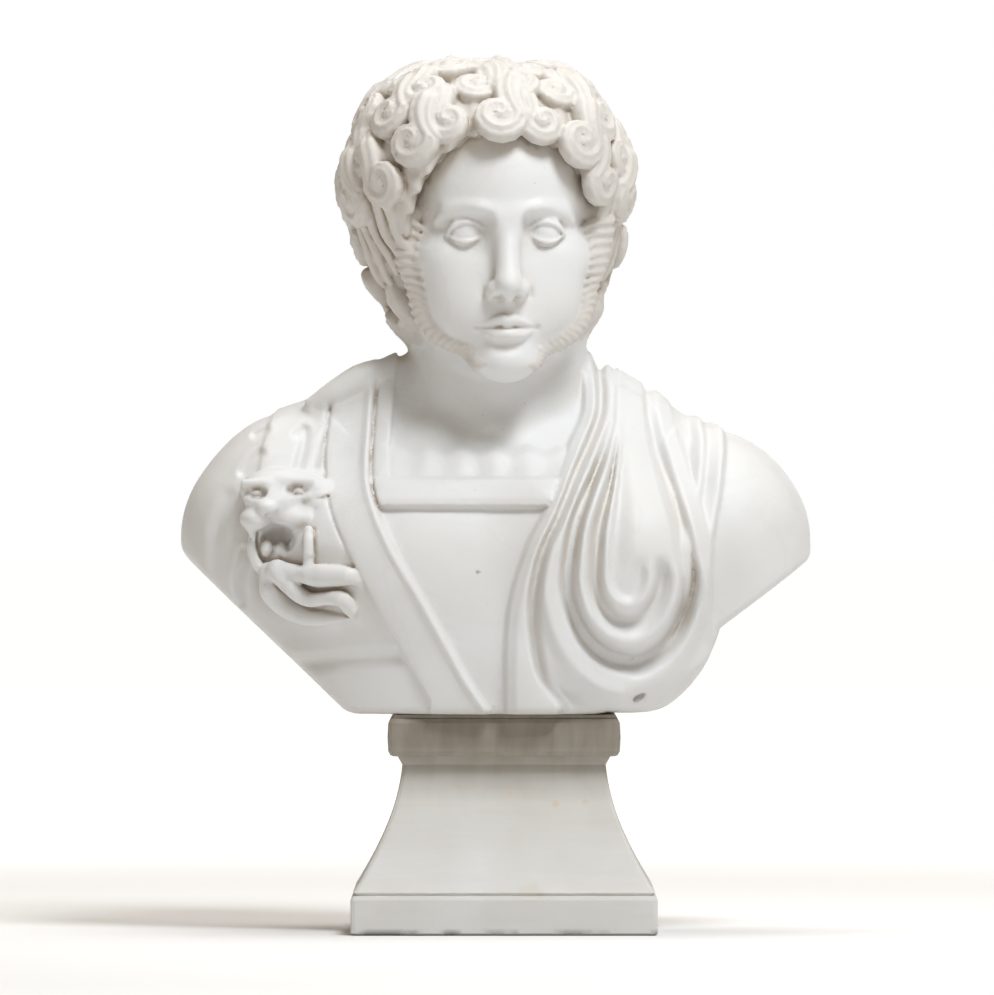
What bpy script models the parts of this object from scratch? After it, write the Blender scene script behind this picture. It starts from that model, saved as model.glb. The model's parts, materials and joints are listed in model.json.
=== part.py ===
"""A carved marble portrait bust on a square socle.

Metres, +Z up, the origin at the middle of the socle's underside. The bust faces -Y. Its form is worked
out in its own units, in which the figure is 525.5 high: each place's distance to the stone, as
ellipsoids, bars and rolls of cloth or hair that flow into each other, and reliefs on them.
"""
import collections
import functools
import math

import bmesh
import bpy
import numpy as np
import openvdb

# The real sizes.
BUST_HEIGHT = 0.5255
BASE_WIDTH = 0.243
BASE_HEIGHT = 0.032
GROOVE = 0.002
FOOT_WIDTH = 0.239
WAIST_WIDTH = 0.161
SHAFT_HEIGHT = 0.107
COVE = 0.004
TOP_WIDTH = 0.185
TOP_HEIGHT = 0.0305
SEAT_WIDTH = 0.177
SEAT_HEIGHT = 0.003
EDGE = 0.004
CORNER = 0.0035
CORNER_STEPS = 2
GAP = 0.0003
BUST_BASE = BASE_HEIGHT + GROOVE + SHAFT_HEIGHT + TOP_HEIGHT + SEAT_HEIGHT

# The bust's own units: its height, the box it fits in, the fineness of the carving, and how many
# triangles it is thinned to.
FIGURE = 525.5
BUST_LOW = (-272.0, -168.0, -8.0)
BUST_HIGH = (264.0, 138.0, 548.0)
CARVING = 3.8
BUST_FACES = 9000

# A distance beyond anything modelled, and a number that keeps a division by a length from failing.
FAR = 1000.0
TINY = 1e-9

# A form: the middle and the radius of a ball around it, and the function for the distance to it.
Shape = collections.namedtuple("Shape", "middle reach distance")


def ease(low, high, value):
    """0 below low, 1 above high, and a smooth rise between them."""
    share = np.clip((value - low) / (high - low), 0.0, 1.0)
    return share * share * (3.0 - 2.0 * share)


def join(a, b, blend):
    """The union of two forms, with a fillet about as wide as blend."""
    if blend <= 0.0:
        return np.minimum(a, b)
    share = np.clip(0.5 + 0.5 * (b - a) / blend, 0.0, 1.0)
    return b + (a - b) * share - blend * share * (1.0 - share)


def meet(a, b, blend):
    """What two forms have in common, with its new edges rounded."""
    return -join(-a, -b, blend)


def profile(value, stops):
    """A height for each value, from (value, height) stops, level at each stop."""
    at, heights = np.array(stops, float).T
    index = np.clip(np.searchsorted(at, value) - 1, 0, len(at) - 2)
    share = ease(at[index], at[index + 1], value)
    return heights[index] + (heights[index + 1] - heights[index]) * share


def curve(points, count):
    """count points along a smooth curve through the given ones."""
    points = np.array(points, float)
    ends = np.vstack([2 * points[0] - points[1], points, 2 * points[-1] - points[-2]])
    places = np.linspace(0.0, len(points) - 1.0, count)
    index = np.minimum(places.astype(int), len(points) - 2)
    t = (places - index)[:, None]
    a, b, c, d = (ends[index + k] for k in range(4))
    square = 2 * a - 5 * b + 4 * c - d
    cube = 3 * b - a - 3 * c + d
    return 0.5 * (2 * b + (c - a) * t + square * t**2 + cube * t**3)


def ball(centre, radii):
    """An ellipsoid with its axes along the frame's."""
    centre, radii = np.array(centre, float), np.array(radii, float)

    def distance(p):
        scaled = (p - centre) / radii
        k0 = np.sqrt((scaled**2).sum(1))
        k1 = np.sqrt(((scaled / radii) ** 2).sum(1)) + TINY
        return k0 * (k0 - 1.0) / k1

    return Shape(centre, radii.max(), distance)


def limb(start, end, start_radius, end_radius):
    """A round bar that tapers from one radius to another, with round ends."""
    start, end = np.array(start, float), np.array(end, float)
    along = end - start
    length_squared = along @ along

    def distance(p):
        share = np.clip((p - start) @ along / length_squared, 0.0, 1.0)
        off = p - start - share[:, None] * along
        return np.sqrt((off**2).sum(1)) - (start_radius + (end_radius - start_radius) * share)

    reach = math.sqrt(length_squared) / 2 + max(start_radius, end_radius)
    return Shape((start + end) / 2, reach, distance)


def strand(path, radii, up=None, strands=0, depth=0.0, flat=1.0):
    """A round bar along a path. With strands, grooves that deep run along it, side by side across
    the direction up gives at each path point. flat below 1 makes it that much thinner along up."""
    path, radii = np.array(path, float), np.array(radii, float)
    along = path[1:] - path[:-1]
    squared = (along**2).sum(1) + TINY

    def distance(p):
        to = p[:, None, :] - path[None, :-1]
        share = np.clip((to * along).sum(2) / squared, 0.0, 1.0)
        off = to - share[:, :, None] * along
        radius = radii[:-1] + (radii[1:] - radii[:-1]) * share
        if up is not None and flat != 1.0:
            rise = (off * up[:-1]).sum(2)[:, :, None] * up[:-1]
            off = off + rise * (1.0 / flat - 1.0)
        gap = np.sqrt((off**2).sum(2)) - radius
        best = gap.argmin(1)
        row = np.arange(len(p))
        found = gap[row, best]
        if strands:
            side = np.cross(along[best], up[best])
            side /= np.sqrt((side**2).sum(1))[:, None] + TINY
            across = (off[row, best] * side).sum(1) / radius[row, best]
            found = found + depth * (0.5 - 0.5 * np.cos(across * math.pi * strands))
        return found

    middle = (path.min(0) + path.max(0)) / 2
    reach = np.sqrt(((path - middle) ** 2).sum(1)).max() + radii.max()
    return Shape(middle, reach, distance)


class Clay:
    """The form modelled so far: each point's distance to it, below 0 inside."""

    def __init__(self, points):
        self.points = points
        self.depth = np.full(len(points), FAR)

    def near(self, shape, margin):
        off = self.points - shape.middle
        return np.nonzero((off**2).sum(1) < (shape.reach + margin) ** 2)[0]

    def add(self, shape, blend=3.0, margin=26.0):
        near = self.near(shape, margin)
        if len(near):
            self.depth[near] = join(self.depth[near], shape.distance(self.points[near]), blend)

    def carve(self, shape, blend=2.0, margin=12.0):
        near = self.near(shape, margin)
        if len(near):
            self.depth[near] = meet(self.depth[near], -shape.distance(self.points[near]), blend)


# Voxels along a block. How near the surface has to be for a block to be worked out finely: a share
# of the block and a slack in units, and then, for the small blocks of two voxels, a number of voxels.
BLOCK = 8
BLOCK_SHARE = 0.89
SLACK = 7.0
SMALL_REACH = 4.8


def sampled(field, low, high, voxel):
    """field on a regular grid between two corners, worked out finely only near its surface."""
    counts = np.ceil((high - low) / (voxel * BLOCK)).astype(int)
    grid = np.zeros(tuple(counts * BLOCK), np.float32)

    def centres(index, size):
        return low + (index * size + (size - 1) / 2.0) * voxel

    def sub(index, factor):
        offsets = np.stack(np.meshgrid(*[np.arange(factor)] * 3, indexing="ij"), -1).reshape(-1, 3)
        return (index[:, None, :] * factor + offsets[None]).reshape(-1, 3)

    coarse = sub(np.zeros((1, 3), int), int(counts.max()))
    coarse = coarse[(coarse < counts).all(1)]
    value = field(centres(coarse, BLOCK))
    dense = np.zeros(tuple(counts), np.float32)
    dense[tuple(coarse.T)] = value
    grid[:] = dense.repeat(BLOCK, 0).repeat(BLOCK, 1).repeat(BLOCK, 2)
    kept = coarse[np.abs(value) < BLOCK_SHARE * BLOCK * voxel + SLACK]

    middle = sub(kept, BLOCK // 2)
    value = field(centres(middle, 2))
    fine = sub(middle, 2)
    grid[tuple(fine.T)] = value.repeat(8)
    kept = middle[np.abs(value) < SMALL_REACH * voxel]

    fine = sub(kept, 2)
    grid[tuple(fine.T)] = field(low + fine * voxel)
    return grid


def surface(field, low, high, voxel):
    """(points, quads) of the field's zero level."""
    low, high = np.array(low, float), np.array(high, float)
    grid = openvdb.FloatGrid(background=FAR)
    grid.copyFromArray(sampled(field, low, high, voxel))
    points, quads = grid.convertToQuads(isovalue=0.0)
    return points * voxel + low, quads


def largest(points, quads):
    """The biggest connected surface alone, without crumbs or bubbles."""
    label = np.arange(len(points))
    while True:
        lower = label.copy()
        np.minimum.at(lower, quads.ravel(), label[quads].min(1).repeat(4))
        lower = lower[lower]
        if (lower == label).all():
            break
        label = lower
    kept = label == np.bincount(label).argmax()
    number = np.cumsum(kept) - 1
    return points[kept], number[quads[kept[quads[:, 0]]]]


# The head's middle, its turn, and the two sides of everything that comes twice.
HEAD_AT = np.array([-5.0, -22.0, 383.0])
HEAD_TURN = math.radians(5.0)
SIDES = (-1, 1)


def to_head(points):
    """Points in the head's own frame: u to the viewer's right, v back, w up."""
    c, s = math.cos(HEAD_TURN), math.sin(HEAD_TURN)
    x, y, z = (points - HEAD_AT).T
    return np.stack([c * x + s * y, -s * x + c * y, z], 1)


# Skull and face
def head_mass(clay):
    clay.add(ball((0, 6, 38), (74, 93, 84)))
    clay.add(ball((0, -28, 30), (67, 61, 58)), 12)
    clay.add(ball((0, -24, -42), (61, 60, 74)), 14)
    clay.add(ball((0, -22, 4), (76, 34, 46)), 12)
    for s in SIDES:
        clay.add(ball((s * 43, -45, -20), (27, 30, 22)), 16)
        clay.add(ball((s * 30, -50, -52), (30, 30, 38)), 18)
        clay.add(ball((s * 40, -8, -66), (22, 38, 32)), 18)
        clay.add(limb((s * 9, -83, 13), (s * 44, -70, 17), 8, 6), 9)
    clay.add(ball((0, -67, -101), (26, 23, 19)), 12)
    clay.add(ball((0, -60, -70), (31, 27, 28)), 14)


def eyes(clay):
    t = np.linspace(-1, 1, 15)
    share = np.abs(t)
    for s in SIDES:
        centre = np.array([s * 31.5, -67.5, -1.0])
        clay.carve(ball((s * 31, -96, 1), (21, 18, 12.5)), 8)
        clay.carve(ball((s * 18, -90, 3), (8, 12, 9)), 7)

        def lid(rise, slant, radius):
            """A line over the eyeball from its inner corner to the outer one, that far from its middle."""
            x, z = 15.0 * t, rise * (1 - share**2.3) + slant * t
            y = -np.sqrt(np.maximum(radius**2 - 0.90 * x**2 - z**2, 9.0))
            return centre + np.stack([s * x, y, z], 1)

        clay.add(strand(lid(10.6, -1.0, 14.4), 3.4 - 1.6 * share), 3.0)
        clay.add(strand(lid(8.6, -1.0, 15.6), 2.2 - 1.1 * share), 1.0)
        clay.add(strand(lid(-7.4, -1.2, 14.6), 2.2 - 1.2 * share), 3.0)
        clay.add(ball(centre, (13.9, 13.9, 13.9)), 0.3, 10)


def nose(clay):
    clay.add(limb((0, -79, 14), (0, -96, -36), 8.5, 9.5), 12)
    clay.add(ball((0, -99, -43), (11, 11, 9.5)), 8)
    for s in SIDES:
        clay.add(ball((s * 12, -89, -46), (7.5, 11, 7.5)), 7)
    clay.add(limb((0, -100, -52), (0, -86, -57), 3.6, 4.5), 4)
    for s in SIDES:
        clay.carve(ball((s * 7, -96, -55.5), (3.8, 6.5, 3.5)), 2)


def mouth(clay):
    clay.carve(limb((0, -93, -59), (0, -92, -67), 2.2, 3.2), 3.5)
    share = np.linspace(-1, 1, 25)

    def both(*half):
        """A line through the places given from the middle to the left corner, and back out to the right."""
        return curve([*reversed(half), *((-u, v, w) for u, v, w in half if u)], 25)

    upper = both((0, -90.5, -71.8), (-5, -90.5, -70.5), (-14, -86, -73), (-24, -79, -76))
    lower = both((0, -88.5, -82.5), (-12, -85, -81), (-21, -79, -77))
    clay.add(strand(upper, 1.0 + 3.9 * (1 - share**2)), 3.0)
    clay.add(strand(lower, 1.0 + 5.0 * (1 - share**2)), 3.0)
    line = both((0, -95, -77), (-5, -95, -75.8), (-14, -90, -76.2), (-25, -80, -76.5))
    clay.carve(strand(line, np.full(25, 1.1)), 2.0)
    clay.carve(ball((0, -95, -92), (15, 8, 5)), 6)


# Hair. The middle and the half sizes of its cap, the way to the crown, a curl's size, the step from
# curl to curl, and the lowest row's height, first turn and radius.
CAP_AT = np.array([-8.0, 9.0, 42.0])
CAP = np.array([108.5, 107.0, 85.0])
CROWN = np.array([0.0, 0.45, 0.89])
CURL = 22.0
SPACING = 37.0
NAPE = (-74.0, 60.0, 66.0)

# Each row of curls: its angle from straight ahead at the top and at the sides of the head, and how
# far round it goes.
ROWS = (
    (27, 57, 104),
    (50, 78, 124),
    (73, 96, 138),
    (95, 114, 152),
    (117, 131, 166),
    (139, 149, 176),
    (161, 166, 150),
)


def in_face(u, w):
    """Below 0 inside the arch of the face that the hair leaves free."""
    arch = np.sqrt((u / 74.0) ** 2 + (np.maximum(w, 0) / 80.0) ** 2)
    return (arch - 1.0) * 75.0


def hair_mass(points, cut=True):
    clay = Clay(points)
    clay.add(ball(CAP_AT, CAP), 3, 90)
    for s in SIDES:
        clay.add(ball(CAP_AT + (s * 34, 2, 29), (60, 86, 54)), 14, 90)
    clay.add(ball((-6, 14, -10), (99, 74, 62)), 20, 90)
    clay.add(ball((-3, 24, -54), (74, 62, 44)), 18, 90)
    if cut:
        u, v, w = points.T
        face = np.maximum(in_face(u, w), v + 34.0)
        clay.depth = meet(clay.depth, -face, 7.0)
        behind_jaw = np.maximum(w + 30.0, v + 14.0 + 0.5 * (w + 40))
        clay.depth = meet(clay.depth, -behind_jaw, 6.0)
        right = np.cross(CROWN, (1.0, 0.0, 0.0))
        turn = np.arctan2(points[:, 0], (points - CAP_AT) @ right)
        wave = turn * 36 + 1.2 * np.sin(w / 11.0)
        clay.depth = clay.depth + 0.8 + 1.3 * np.cos(wave)
    return clay


def on_hair(directions, lift=0.0):
    """Where rays from the middle of the cap leave the hair's mass, and the way out there."""
    directions = directions / np.sqrt((directions**2).sum(1))[:, None]
    reach = np.full(len(directions), 125.0)
    for _ in range(18):
        reach -= np.clip(0.9 * hair_mass(CAP_AT + reach[:, None] * directions, False).depth, -12, 12)
    at = CAP_AT + reach[:, None] * directions
    step = 4.0
    sides = [(at + step * axis, at - step * axis) for axis in np.eye(3)]
    out = np.stack([hair_mass(a, False).depth - hair_mass(b, False).depth for a, b in sides], 1)
    out /= np.sqrt((out**2).sum(1))[:, None]
    return at + lift * out, out


def row_directions(row):
    """Directions of a row's curls, evenly spaced along it, staggered from row to row."""
    top, side, reach = ROWS[row]
    turns = np.radians(np.linspace(-reach, reach, 241))
    ring = np.radians(top + (side - top) * np.sin(turns / 2) ** 2 * 1.6)
    ways = np.stack([np.sin(ring) * np.sin(turns), -np.cos(ring), np.sin(ring) * np.cos(turns)], 1)
    at = CAP_AT + 108 * ways
    length = np.concatenate([[0], np.cumsum(np.sqrt(((at[1:] - at[:-1]) ** 2).sum(1)))])
    middle = length[-1] / 2
    half = int(middle // SPACING)
    numbers = np.arange(-half, half) + 0.5 if row % 2 else np.arange(-half, half + 1)
    places = middle + SPACING * numbers
    return np.stack([np.interp(places, length, ways[:, k]) for k in range(3)], 1)


def nape_directions():
    """Directions of the lowest row, level round the back of the neck from ear to ear."""
    height, first, radius = NAPE
    turns = np.radians(np.linspace(first, 360 - first, 11))
    level = np.full(11, height - CAP_AT[2])
    return np.stack([radius * np.sin(turns), 30 - radius * np.cos(turns), level], 1)


def lock_path(middle, out, hand, size, tail, turns=1.2):
    """A lock's route, flat on the tangent plane at its curl: down from the crown, then a snail curl."""
    flow = (middle - CAP_AT) / 100.0 - CROWN
    flow = flow - (flow @ out) * out
    flow /= np.linalg.norm(flow)
    side = np.cross(out, flow) * hand
    rim = size * 0.60
    places = []
    for s in np.linspace(-tail * size, 0.0, 8)[:-1]:
        places.append((s, rim + 0.30 * rim * math.sin(s / size * 1.9)))
    for share in np.linspace(0, 1, 17):
        angle = share * turns * 2 * math.pi
        radius = rim * (1 - share) ** 0.75 + 1.0
        places.append((radius * math.sin(angle), radius * math.cos(angle)))
    s, t = np.array(places).T
    return middle + s[:, None] * flow + t[:, None] * side


@functools.cache
def curls():
    """Every curl of the head's hair."""
    routes, sizes = [], []
    for row in range(len(ROWS) + 1):
        ways = row_directions(row) if row < len(ROWS) else nape_directions()
        middles, outs = on_hair(ways)
        for k, (middle, out) in enumerate(zip(middles, outs)):
            size = CURL * (1.0 + 0.10 * math.sin(2.7 * k + 1.3 * row))
            hand = 1 if (k + row) % 2 else -1
            wobble = np.cross(out, [0.3, 0.5, 0.8]) * 3.0 * math.sin(4.1 * k + 2.2 * row)
            routes.append(lock_path(middle + wobble, out, hand, size, 1.7 if row else 1.9))
            sizes.append(size)
    flat = np.concatenate(routes)
    places, ups = on_hair(flat - CAP_AT)
    shapes, start = [], 0
    for route, size in zip(routes, sizes):
        count = len(route)
        path, up = places[start : start + count], ups[start : start + count]
        start += count
        share = np.linspace(0, 1, count)
        rise = 1.0 + 2.5 * (size > 0.98 * CURL) + 5.0 * ease(0.4, 0.9, share)
        path = path + up * rise[:, None]
        width = 0.64 - 0.20 * ease(0.0, 0.38, share) - 0.20 * ease(0.4, 1.0, share)
        width = width * (0.6 + 0.4 * ease(0.0, 0.10, share))
        shapes.append(strand(path, size * width, up, 3, size * 0.075, 0.85))
    return shapes


# How many places the beard has along the jaw and along each of its locks, and the jaw's edge on the
# viewer's left, as (across, up) places going down to the chin.
JAW_PLACES = 120
LOCK_PLACES = 7
JAW_LEFT = ((-83, 12), (-85, -8), (-84, -26), (-80, -44), (-73, -61))
JAW_LEFT += ((-63, -77), (-51, -91), (-37, -102), (-24, -109))


def settled(points, mass):
    """Points slid along the form's slope until they lie on its surface, and the way out there."""
    points = np.array(points, float)
    for _ in range(10):
        depth = mass(points)
        out = np.stack([mass(points + axis) - mass(points - axis) for axis in np.eye(3)], 1)
        out /= np.sqrt((out**2).sum(1))[:, None] + TINY
        points = points - 0.9 * depth[:, None] * out
    return points, out


def face_mass(points):
    clay = Clay(points)
    head_mass(clay)
    return clay.depth


@functools.cache
def beard():
    """A roll of hair along the edge of the jaw, and the short locks side by side on it."""
    shapes = []
    for s in SIDES:
        line = curve([(-s * u, -38 - 0.70 * (79 + u), w) for u, w in JAW_LEFT], JAW_PLACES)
        core, out = settled(line, face_mass)
        core = core - out * np.linspace(1.0, 5.0, JAW_PLACES)[:, None]
        roll = strand(core[::5], np.linspace(14.5, 5.0, JAW_PLACES // 5))
        shapes.append(roll)

        def mass(points):
            return join(face_mass(points), roll.distance(points), 4.0)

        forward = np.linspace(9.0, 2.0, JAW_PLACES)[:, None] * (0.0, -1.0, 0.0)
        places, out = settled(core + out * 10 + forward, mass)
        length = np.concatenate([[0], np.cumsum(np.sqrt(((places[1:] - places[:-1]) ** 2).sum(1)))])

        def along(line, far):
            """The place on a line at a distance along the jaw."""
            return np.array([np.interp(far, length, line[:, k]) for k in range(3)])

        at = 3.0
        t = np.linspace(-1, 1, LOCK_PLACES)
        routes, radii = [], []
        while at < length[-1]:
            share = at / length[-1]
            here, n, after = along(places, at), along(out, at), along(places, at + 2)
            ahead = (after - here) / (np.linalg.norm(after - here) + TINY)
            over = np.cross(n, ahead) * -s
            over = over * math.cos(0.35 * share + 0.2) + ahead * math.sin(0.35 * share + 0.2)
            thick = 5.4 - 2.4 * share
            reach = 18.5 - 12.0 * share + 1.5 * math.sin(9.0 * share + s)
            sway = 2.2 * t**2 + 0.9 * np.sin(3.0 * t + 11.0 * share)
            routes.append(here - over * reach * t[:, None] + ahead * sway[:, None])
            radii.append(thick * (0.45 + 0.55 * (1 - t**2)))
            at += thick * 1.55
        flat, ups = settled(np.concatenate(routes), mass)
        for k, radius in enumerate(radii):
            part = slice(LOCK_PLACES * k, LOCK_PLACES * (k + 1))
            shapes.append(strand(flat[part] + ups[part] * (radius[:, None] * 0.3), radius, ups[part], 2, 0.9))
    return shapes


@functools.cache
def temple_locks():
    """Wavy locks that come down in front of the ears to the beard."""
    shapes = []
    for s in SIDES:
        for k, (u, v) in enumerate(((80, -42), (85, -33), (90, -23), (94, -12), (97, 0))):
            t = np.linspace(0, 1, 12)
            low = -12 - 6 * k
            side = s * (u - 13 * t**2 + 2.2 * np.sin(t * 9 + k))
            route = np.stack([side, v + 2.5 * np.sin(t * 9 + k + 1.5), 44 + (low - 44) * t], 1)
            places, ups = on_hair(route - CAP_AT)
            shapes.append(strand(places + ups * 0.5, 6.4 - 2.6 * t**2, ups, 3, 0.9, 0.9))
    return shapes


def head_parts(points):
    """The distances to the skin and to the hair, from places in the head's own frame."""
    skin = Clay(points)
    head_mass(skin)
    eyes(skin)
    nose(skin)
    mouth(skin)
    hair = hair_mass(points)
    for shape in beard():
        hair.add(shape, 1.5, 9)
    for shape in temple_locks():
        hair.add(shape, 1.2, 10)
    for shape in curls():
        hair.add(shape, 1.2, 12)
    return skin.depth, hair.depth


def head(points):
    return join(*head_parts(to_head(points)), 2.0)


def neck(clay):
    deep = Clay(clay.points * (1.0, 1.14, 1.0))
    deep.add(limb((-4, 16, 215), (-5, 2, 330), 77, 66), 20)
    clay.depth = join(clay.depth, deep.depth * 0.93, 20)
    for s in SIDES:
        clay.add(limb((-4 + s * 10, -50, 222), (-4 + s * 60, 6, 318), 8, 11), 18)


# Torso
def torso(points):
    clay = Clay(points)
    clay.add(ball((-4, 2, 70), (190, 108, 190)))
    clay.add(ball((-180, 6, 140), (68, 72, 84)), 26)
    clay.add(ball((169, 6, 132), (67, 72, 80)), 26)
    clay.add(limb((-190, 8, 140), (-196, 6, 20), 62, 58), 20)
    clay.add(limb((176, 8, 140), (182, 6, 20), 62, 58), 20)
    clay.add(limb((-49, 22, 254), (-167, 10, 192), 42, 42), 30)
    clay.add(limb((41, 22, 243), (160, 10, 180), 42, 40), 30)
    for s in SIDES:
        clay.add(ball((-4 + s * 78, -62, 120), (82, 48, 62)), 30)
        clay.add(ball((-4 + s * 70, 60, 150), (78, 42, 90)), 30)
    return clay


# Lines on the front, as (x, z) places going up.
SASH_INNER = ((-11, 4), (-26, 26), (-43, 57), (-65, 96), (-85, 130), (-100, 166), (-105, 194))
SASH_INNER += ((-103, 236), (-99, 290))
SASH_OUTER = ((-60, 12), (-81, 49), (-104, 89), (-122, 124), (-138, 162), (-143, 200))
SASH_OUTER += ((-139, 242), (-128, 290))
TOGA_EDGE = ((164, 62), (165, 120), (170, 155), (175, 188), (177, 219), (172, 260))


@functools.cache
def smoothed(line):
    """A line given by a few (x, z) places, as a smooth curve of many, going up."""
    x, _, z = curve([(x, 0.0, z) for x, z in line], 8 * len(line)).T
    return x, np.maximum.accumulate(z)


def line_at(z, line):
    """How far to the right a line runs at each height."""
    x, heights = smoothed(line)
    return np.interp(z, heights, x)


def loops(x, z):
    """Which of the toga's nested loops each place is on: 0 at their axis, growing outwards."""
    narrow = 1.0 - 0.54 * ease(95, 270, z)
    across = (x - 98.0) / narrow
    below = np.minimum(z - 112.0, 0.0) * 0.70
    return np.hypot(across, below), across


# The toga's left edge and the groove beside it, as (x, z) places going up. Then (place, height) stops:
# across the loops on the left and on the right, each low down and at the top, and where it falls at the arm.
TOGA_LEFT = ((2, 5), (2, 53), (6, 92), (20, 136), (36, 167), (52, 213), (64, 244), (61, 290))
INNER_GROOVE = ((47, 7), (30, 30), (23, 64), (23, 95), (30, 128), (43, 157), (57, 192), (70, 222))
INNER_GROOVE += ((77, 246), (75, 290))
LEFT_LOOPS = ((0, 9), (11, 8.0), (18, 13), (26, 4), (38, 15), (48, -1), (58, 12), (66, 14), (76, 10))
LEFT_LOOPS += ((400, 11),)
LEFT_TOP = ((0, 12), (30, 13), (45, 9), (60, 13), (66, 12), (400, 12))
RIGHT_LOOPS = ((0, 9), (10, 8), (18, 12.5), (26, 5), (39, 14), (49, 1), (61, 13), (72, 10), (400, 10))
RIGHT_TOP = ((0, 12), (36, 12), (48, 4), (60, 11), (70, 8), (78, 0), (400, 0))
TOGA_FALL = ((-400, 0), (-40, 5), (-30, 3), (-19, 7.5), (-14, 4), (-3, 7), (1.5, 0), (400, 0))

# The folds' middle height, and how much deeper they are than the stops above say.
FOLD = 8.0
DEEPER = 1.3


def toga(x, z):
    q, across = loops(x, z)
    high = ease(140, 245, z)
    deeper = DEEPER - 0.6 * ease(215, 262, z)
    squeezed = np.interp(q, (0, 22, 44, 78, 400), (0, 45, 66, 78, 400))
    left_q = q + (squeezed - q) * high
    top = ease(190, 235, z)
    left = profile(left_q, LEFT_LOOPS) * (1 - top) + profile(left_q, LEFT_TOP) * top
    left = FOLD + (left - FOLD) * deeper
    groove = x - line_at(z, INNER_GROOVE)
    edge = x - line_at(z, TOGA_LEFT)
    edge_fold = profile(edge, ((-400, 0), (-3.5, 0), (2.0, 7.0), (9, 10.5), (400, 10.5)))
    edge_fold = np.minimum(edge_fold, 2.5 + 8 * ease(0, -6, groove))
    left = np.where(groove > 0, 2.5 + (left - 2.5) * ease(0, 9, groove), edge_fold)
    squeezed = np.interp(q, (0, 34, 73, 400), (0, 48, 73, 400))
    right_q = q + (squeezed - q) * high
    top = ease(108, 130, z)
    right = profile(right_q, RIGHT_LOOPS) * (1 - top) + profile(right_q, RIGHT_TOP) * top
    right = FOLD + (right - FOLD) * deeper
    fall = profile(x - line_at(z, TOGA_EDGE), TOGA_FALL) * ease(80, 115, z)
    right = np.maximum(right * ease(2, -2, x - line_at(z, TOGA_EDGE)), fall)
    mix = ease(-8, 8, across)
    under = 8.0 * ease(66, 82, q) * ease(42, 18, z) * ease(0, 12, groove)
    return left * (1 - mix) + right * mix - under


# The cuirass's upper edge, as (height, relief) stops.
COLLAR = ((-400, 0), (164, 0), (166.5, 6.5), (172, 8), (186.5, 8), (189.5, 2), (191, 0), (400, 0))

# Creases in the cloth: the line each one follows, its depth and its width.
CREASES = (
    (((-136, 250), (-139, 226), (-145, 196)), 3.0, 4.0),
    (((-165, 222), (-159, 226), (-160, 212), (-164, 196)), 2.2, 3.5),
    (((-199, 222), (-190, 226)), 1.8, 3.0),
    (((-194, 207), (-201, 201), (-208, 192)), 2.4, 3.5),
    (((-106, 262), (-120, 257), (-138, 250)), 3.0, 4.0),
    (((-219, 172), (-229, 142), (-229, 92)), 2.0, 6.0),
    (((-205, 128), (-211, 108), (-209, 88)), 3.2, 4.0),
    (((-168, 40), (-124, 43), (-84, 46)), 2.0, 6.0),
    (((-150, 96), (-128, 82), (-116, 66)), 1.2, 7.0),
)


def creased(x, z):
    """How deep the creases are at each place, with a low swell along both sides of each."""
    depth = np.zeros(len(x))
    for line, deep, wide in CREASES:
        crease = strand(curve([(a, 0, b) for a, b in line], 9), np.zeros(9))
        off = np.hypot(x - crease.middle[0], z - crease.middle[2])
        near = np.nonzero(off < crease.reach + 4 * wide)[0]
        if len(near):
            places = np.stack([x[near], np.zeros(len(near)), z[near]], 1)
            away = crease.distance(places) / wide
            depth[near] += deep * (np.exp(-(away**2)) - 0.35 * np.exp(-((away - 1.7) ** 2)))
    return depth


def front_relief(x, z):
    cloth = toga(x, z)
    inner, outer = x - line_at(z, SASH_INNER), x - line_at(z, SASH_OUTER)
    band = profile(inner, ((-400, 7), (-11, 7), (-5.0, 9.5), (2.0, 0), (400, 0))) * ease(-2.5, 2.5, outer)
    skin = x - line_at(z, ((-197, 170), (-196, 184), (-193, 212), (-186, 237), (-180, 260)))
    chest = 3.0 - creased(x, z) + 3.0 * ease(-2, 2, skin) * ease(120, 135, z)
    chest = chest * ease(3, -2, outer)
    middle = ease(-2, 2, inner) * ease(4, -1, x - line_at(z, TOGA_LEFT))
    collar = profile(z, COLLAR)
    strap = profile(inner, ((-400, 6), (12, 6), (15.5, 0), (400, 0))) * ease(180, 186, z)
    lobes = 0.5 + 0.5 * np.cos(2 * math.pi * (x + 8) / 27.0)
    corner = np.maximum(z - 206.0 - 4.0 * lobes, (line_at(z, SASH_INNER) + 40 - x) * 0.6 + z - 232)
    tunic = (3.0 + 2.4 * lobes) * ease(5.0, -3.0, corner) * ease(162, 168, z)
    under = np.maximum.reduce([collar, strap, tunic]) * middle
    return np.maximum.reduce([cloth, band, under, chest])


def back_relief(x, z):
    over = front_relief(x, np.maximum(z, 250.0))
    fold = (z - 0.0030 * (x + 10) ** 2) / 46.0 + 0.35 * np.sin(x / 55.0 + z / 70.0)
    ridge = 1 - np.abs(np.sin(math.pi * fold)) ** 0.8
    cowl = 4.0 + 3.6 * ridge * ease(175, 120, np.abs(x + 6)) * ease(0, 30, z)
    high = ease(226, 266, z + 0.12 * np.abs(x))
    return cowl * (1 - high) + over * high


def relief(points):
    x, y, z = points.T
    front = ease(14, -10, y)
    return front * front_relief(x, z) + (1 - front) * back_relief(x, z)


def cuts(points):
    """Above 0 outside the planes that cut the bust off below."""
    x, _, z = points.T
    left = (3 + (-127 - x) * 0.953 - z) / 1.381
    arm = (63 + (x - 166) * 0.75 - z) / 1.25
    q, _ = loops(x, z)
    hem = np.where(x > 60, np.minimum(arm, (q - 80.5) * 0.9), -FAR)
    return np.maximum(left, hem)


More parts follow.
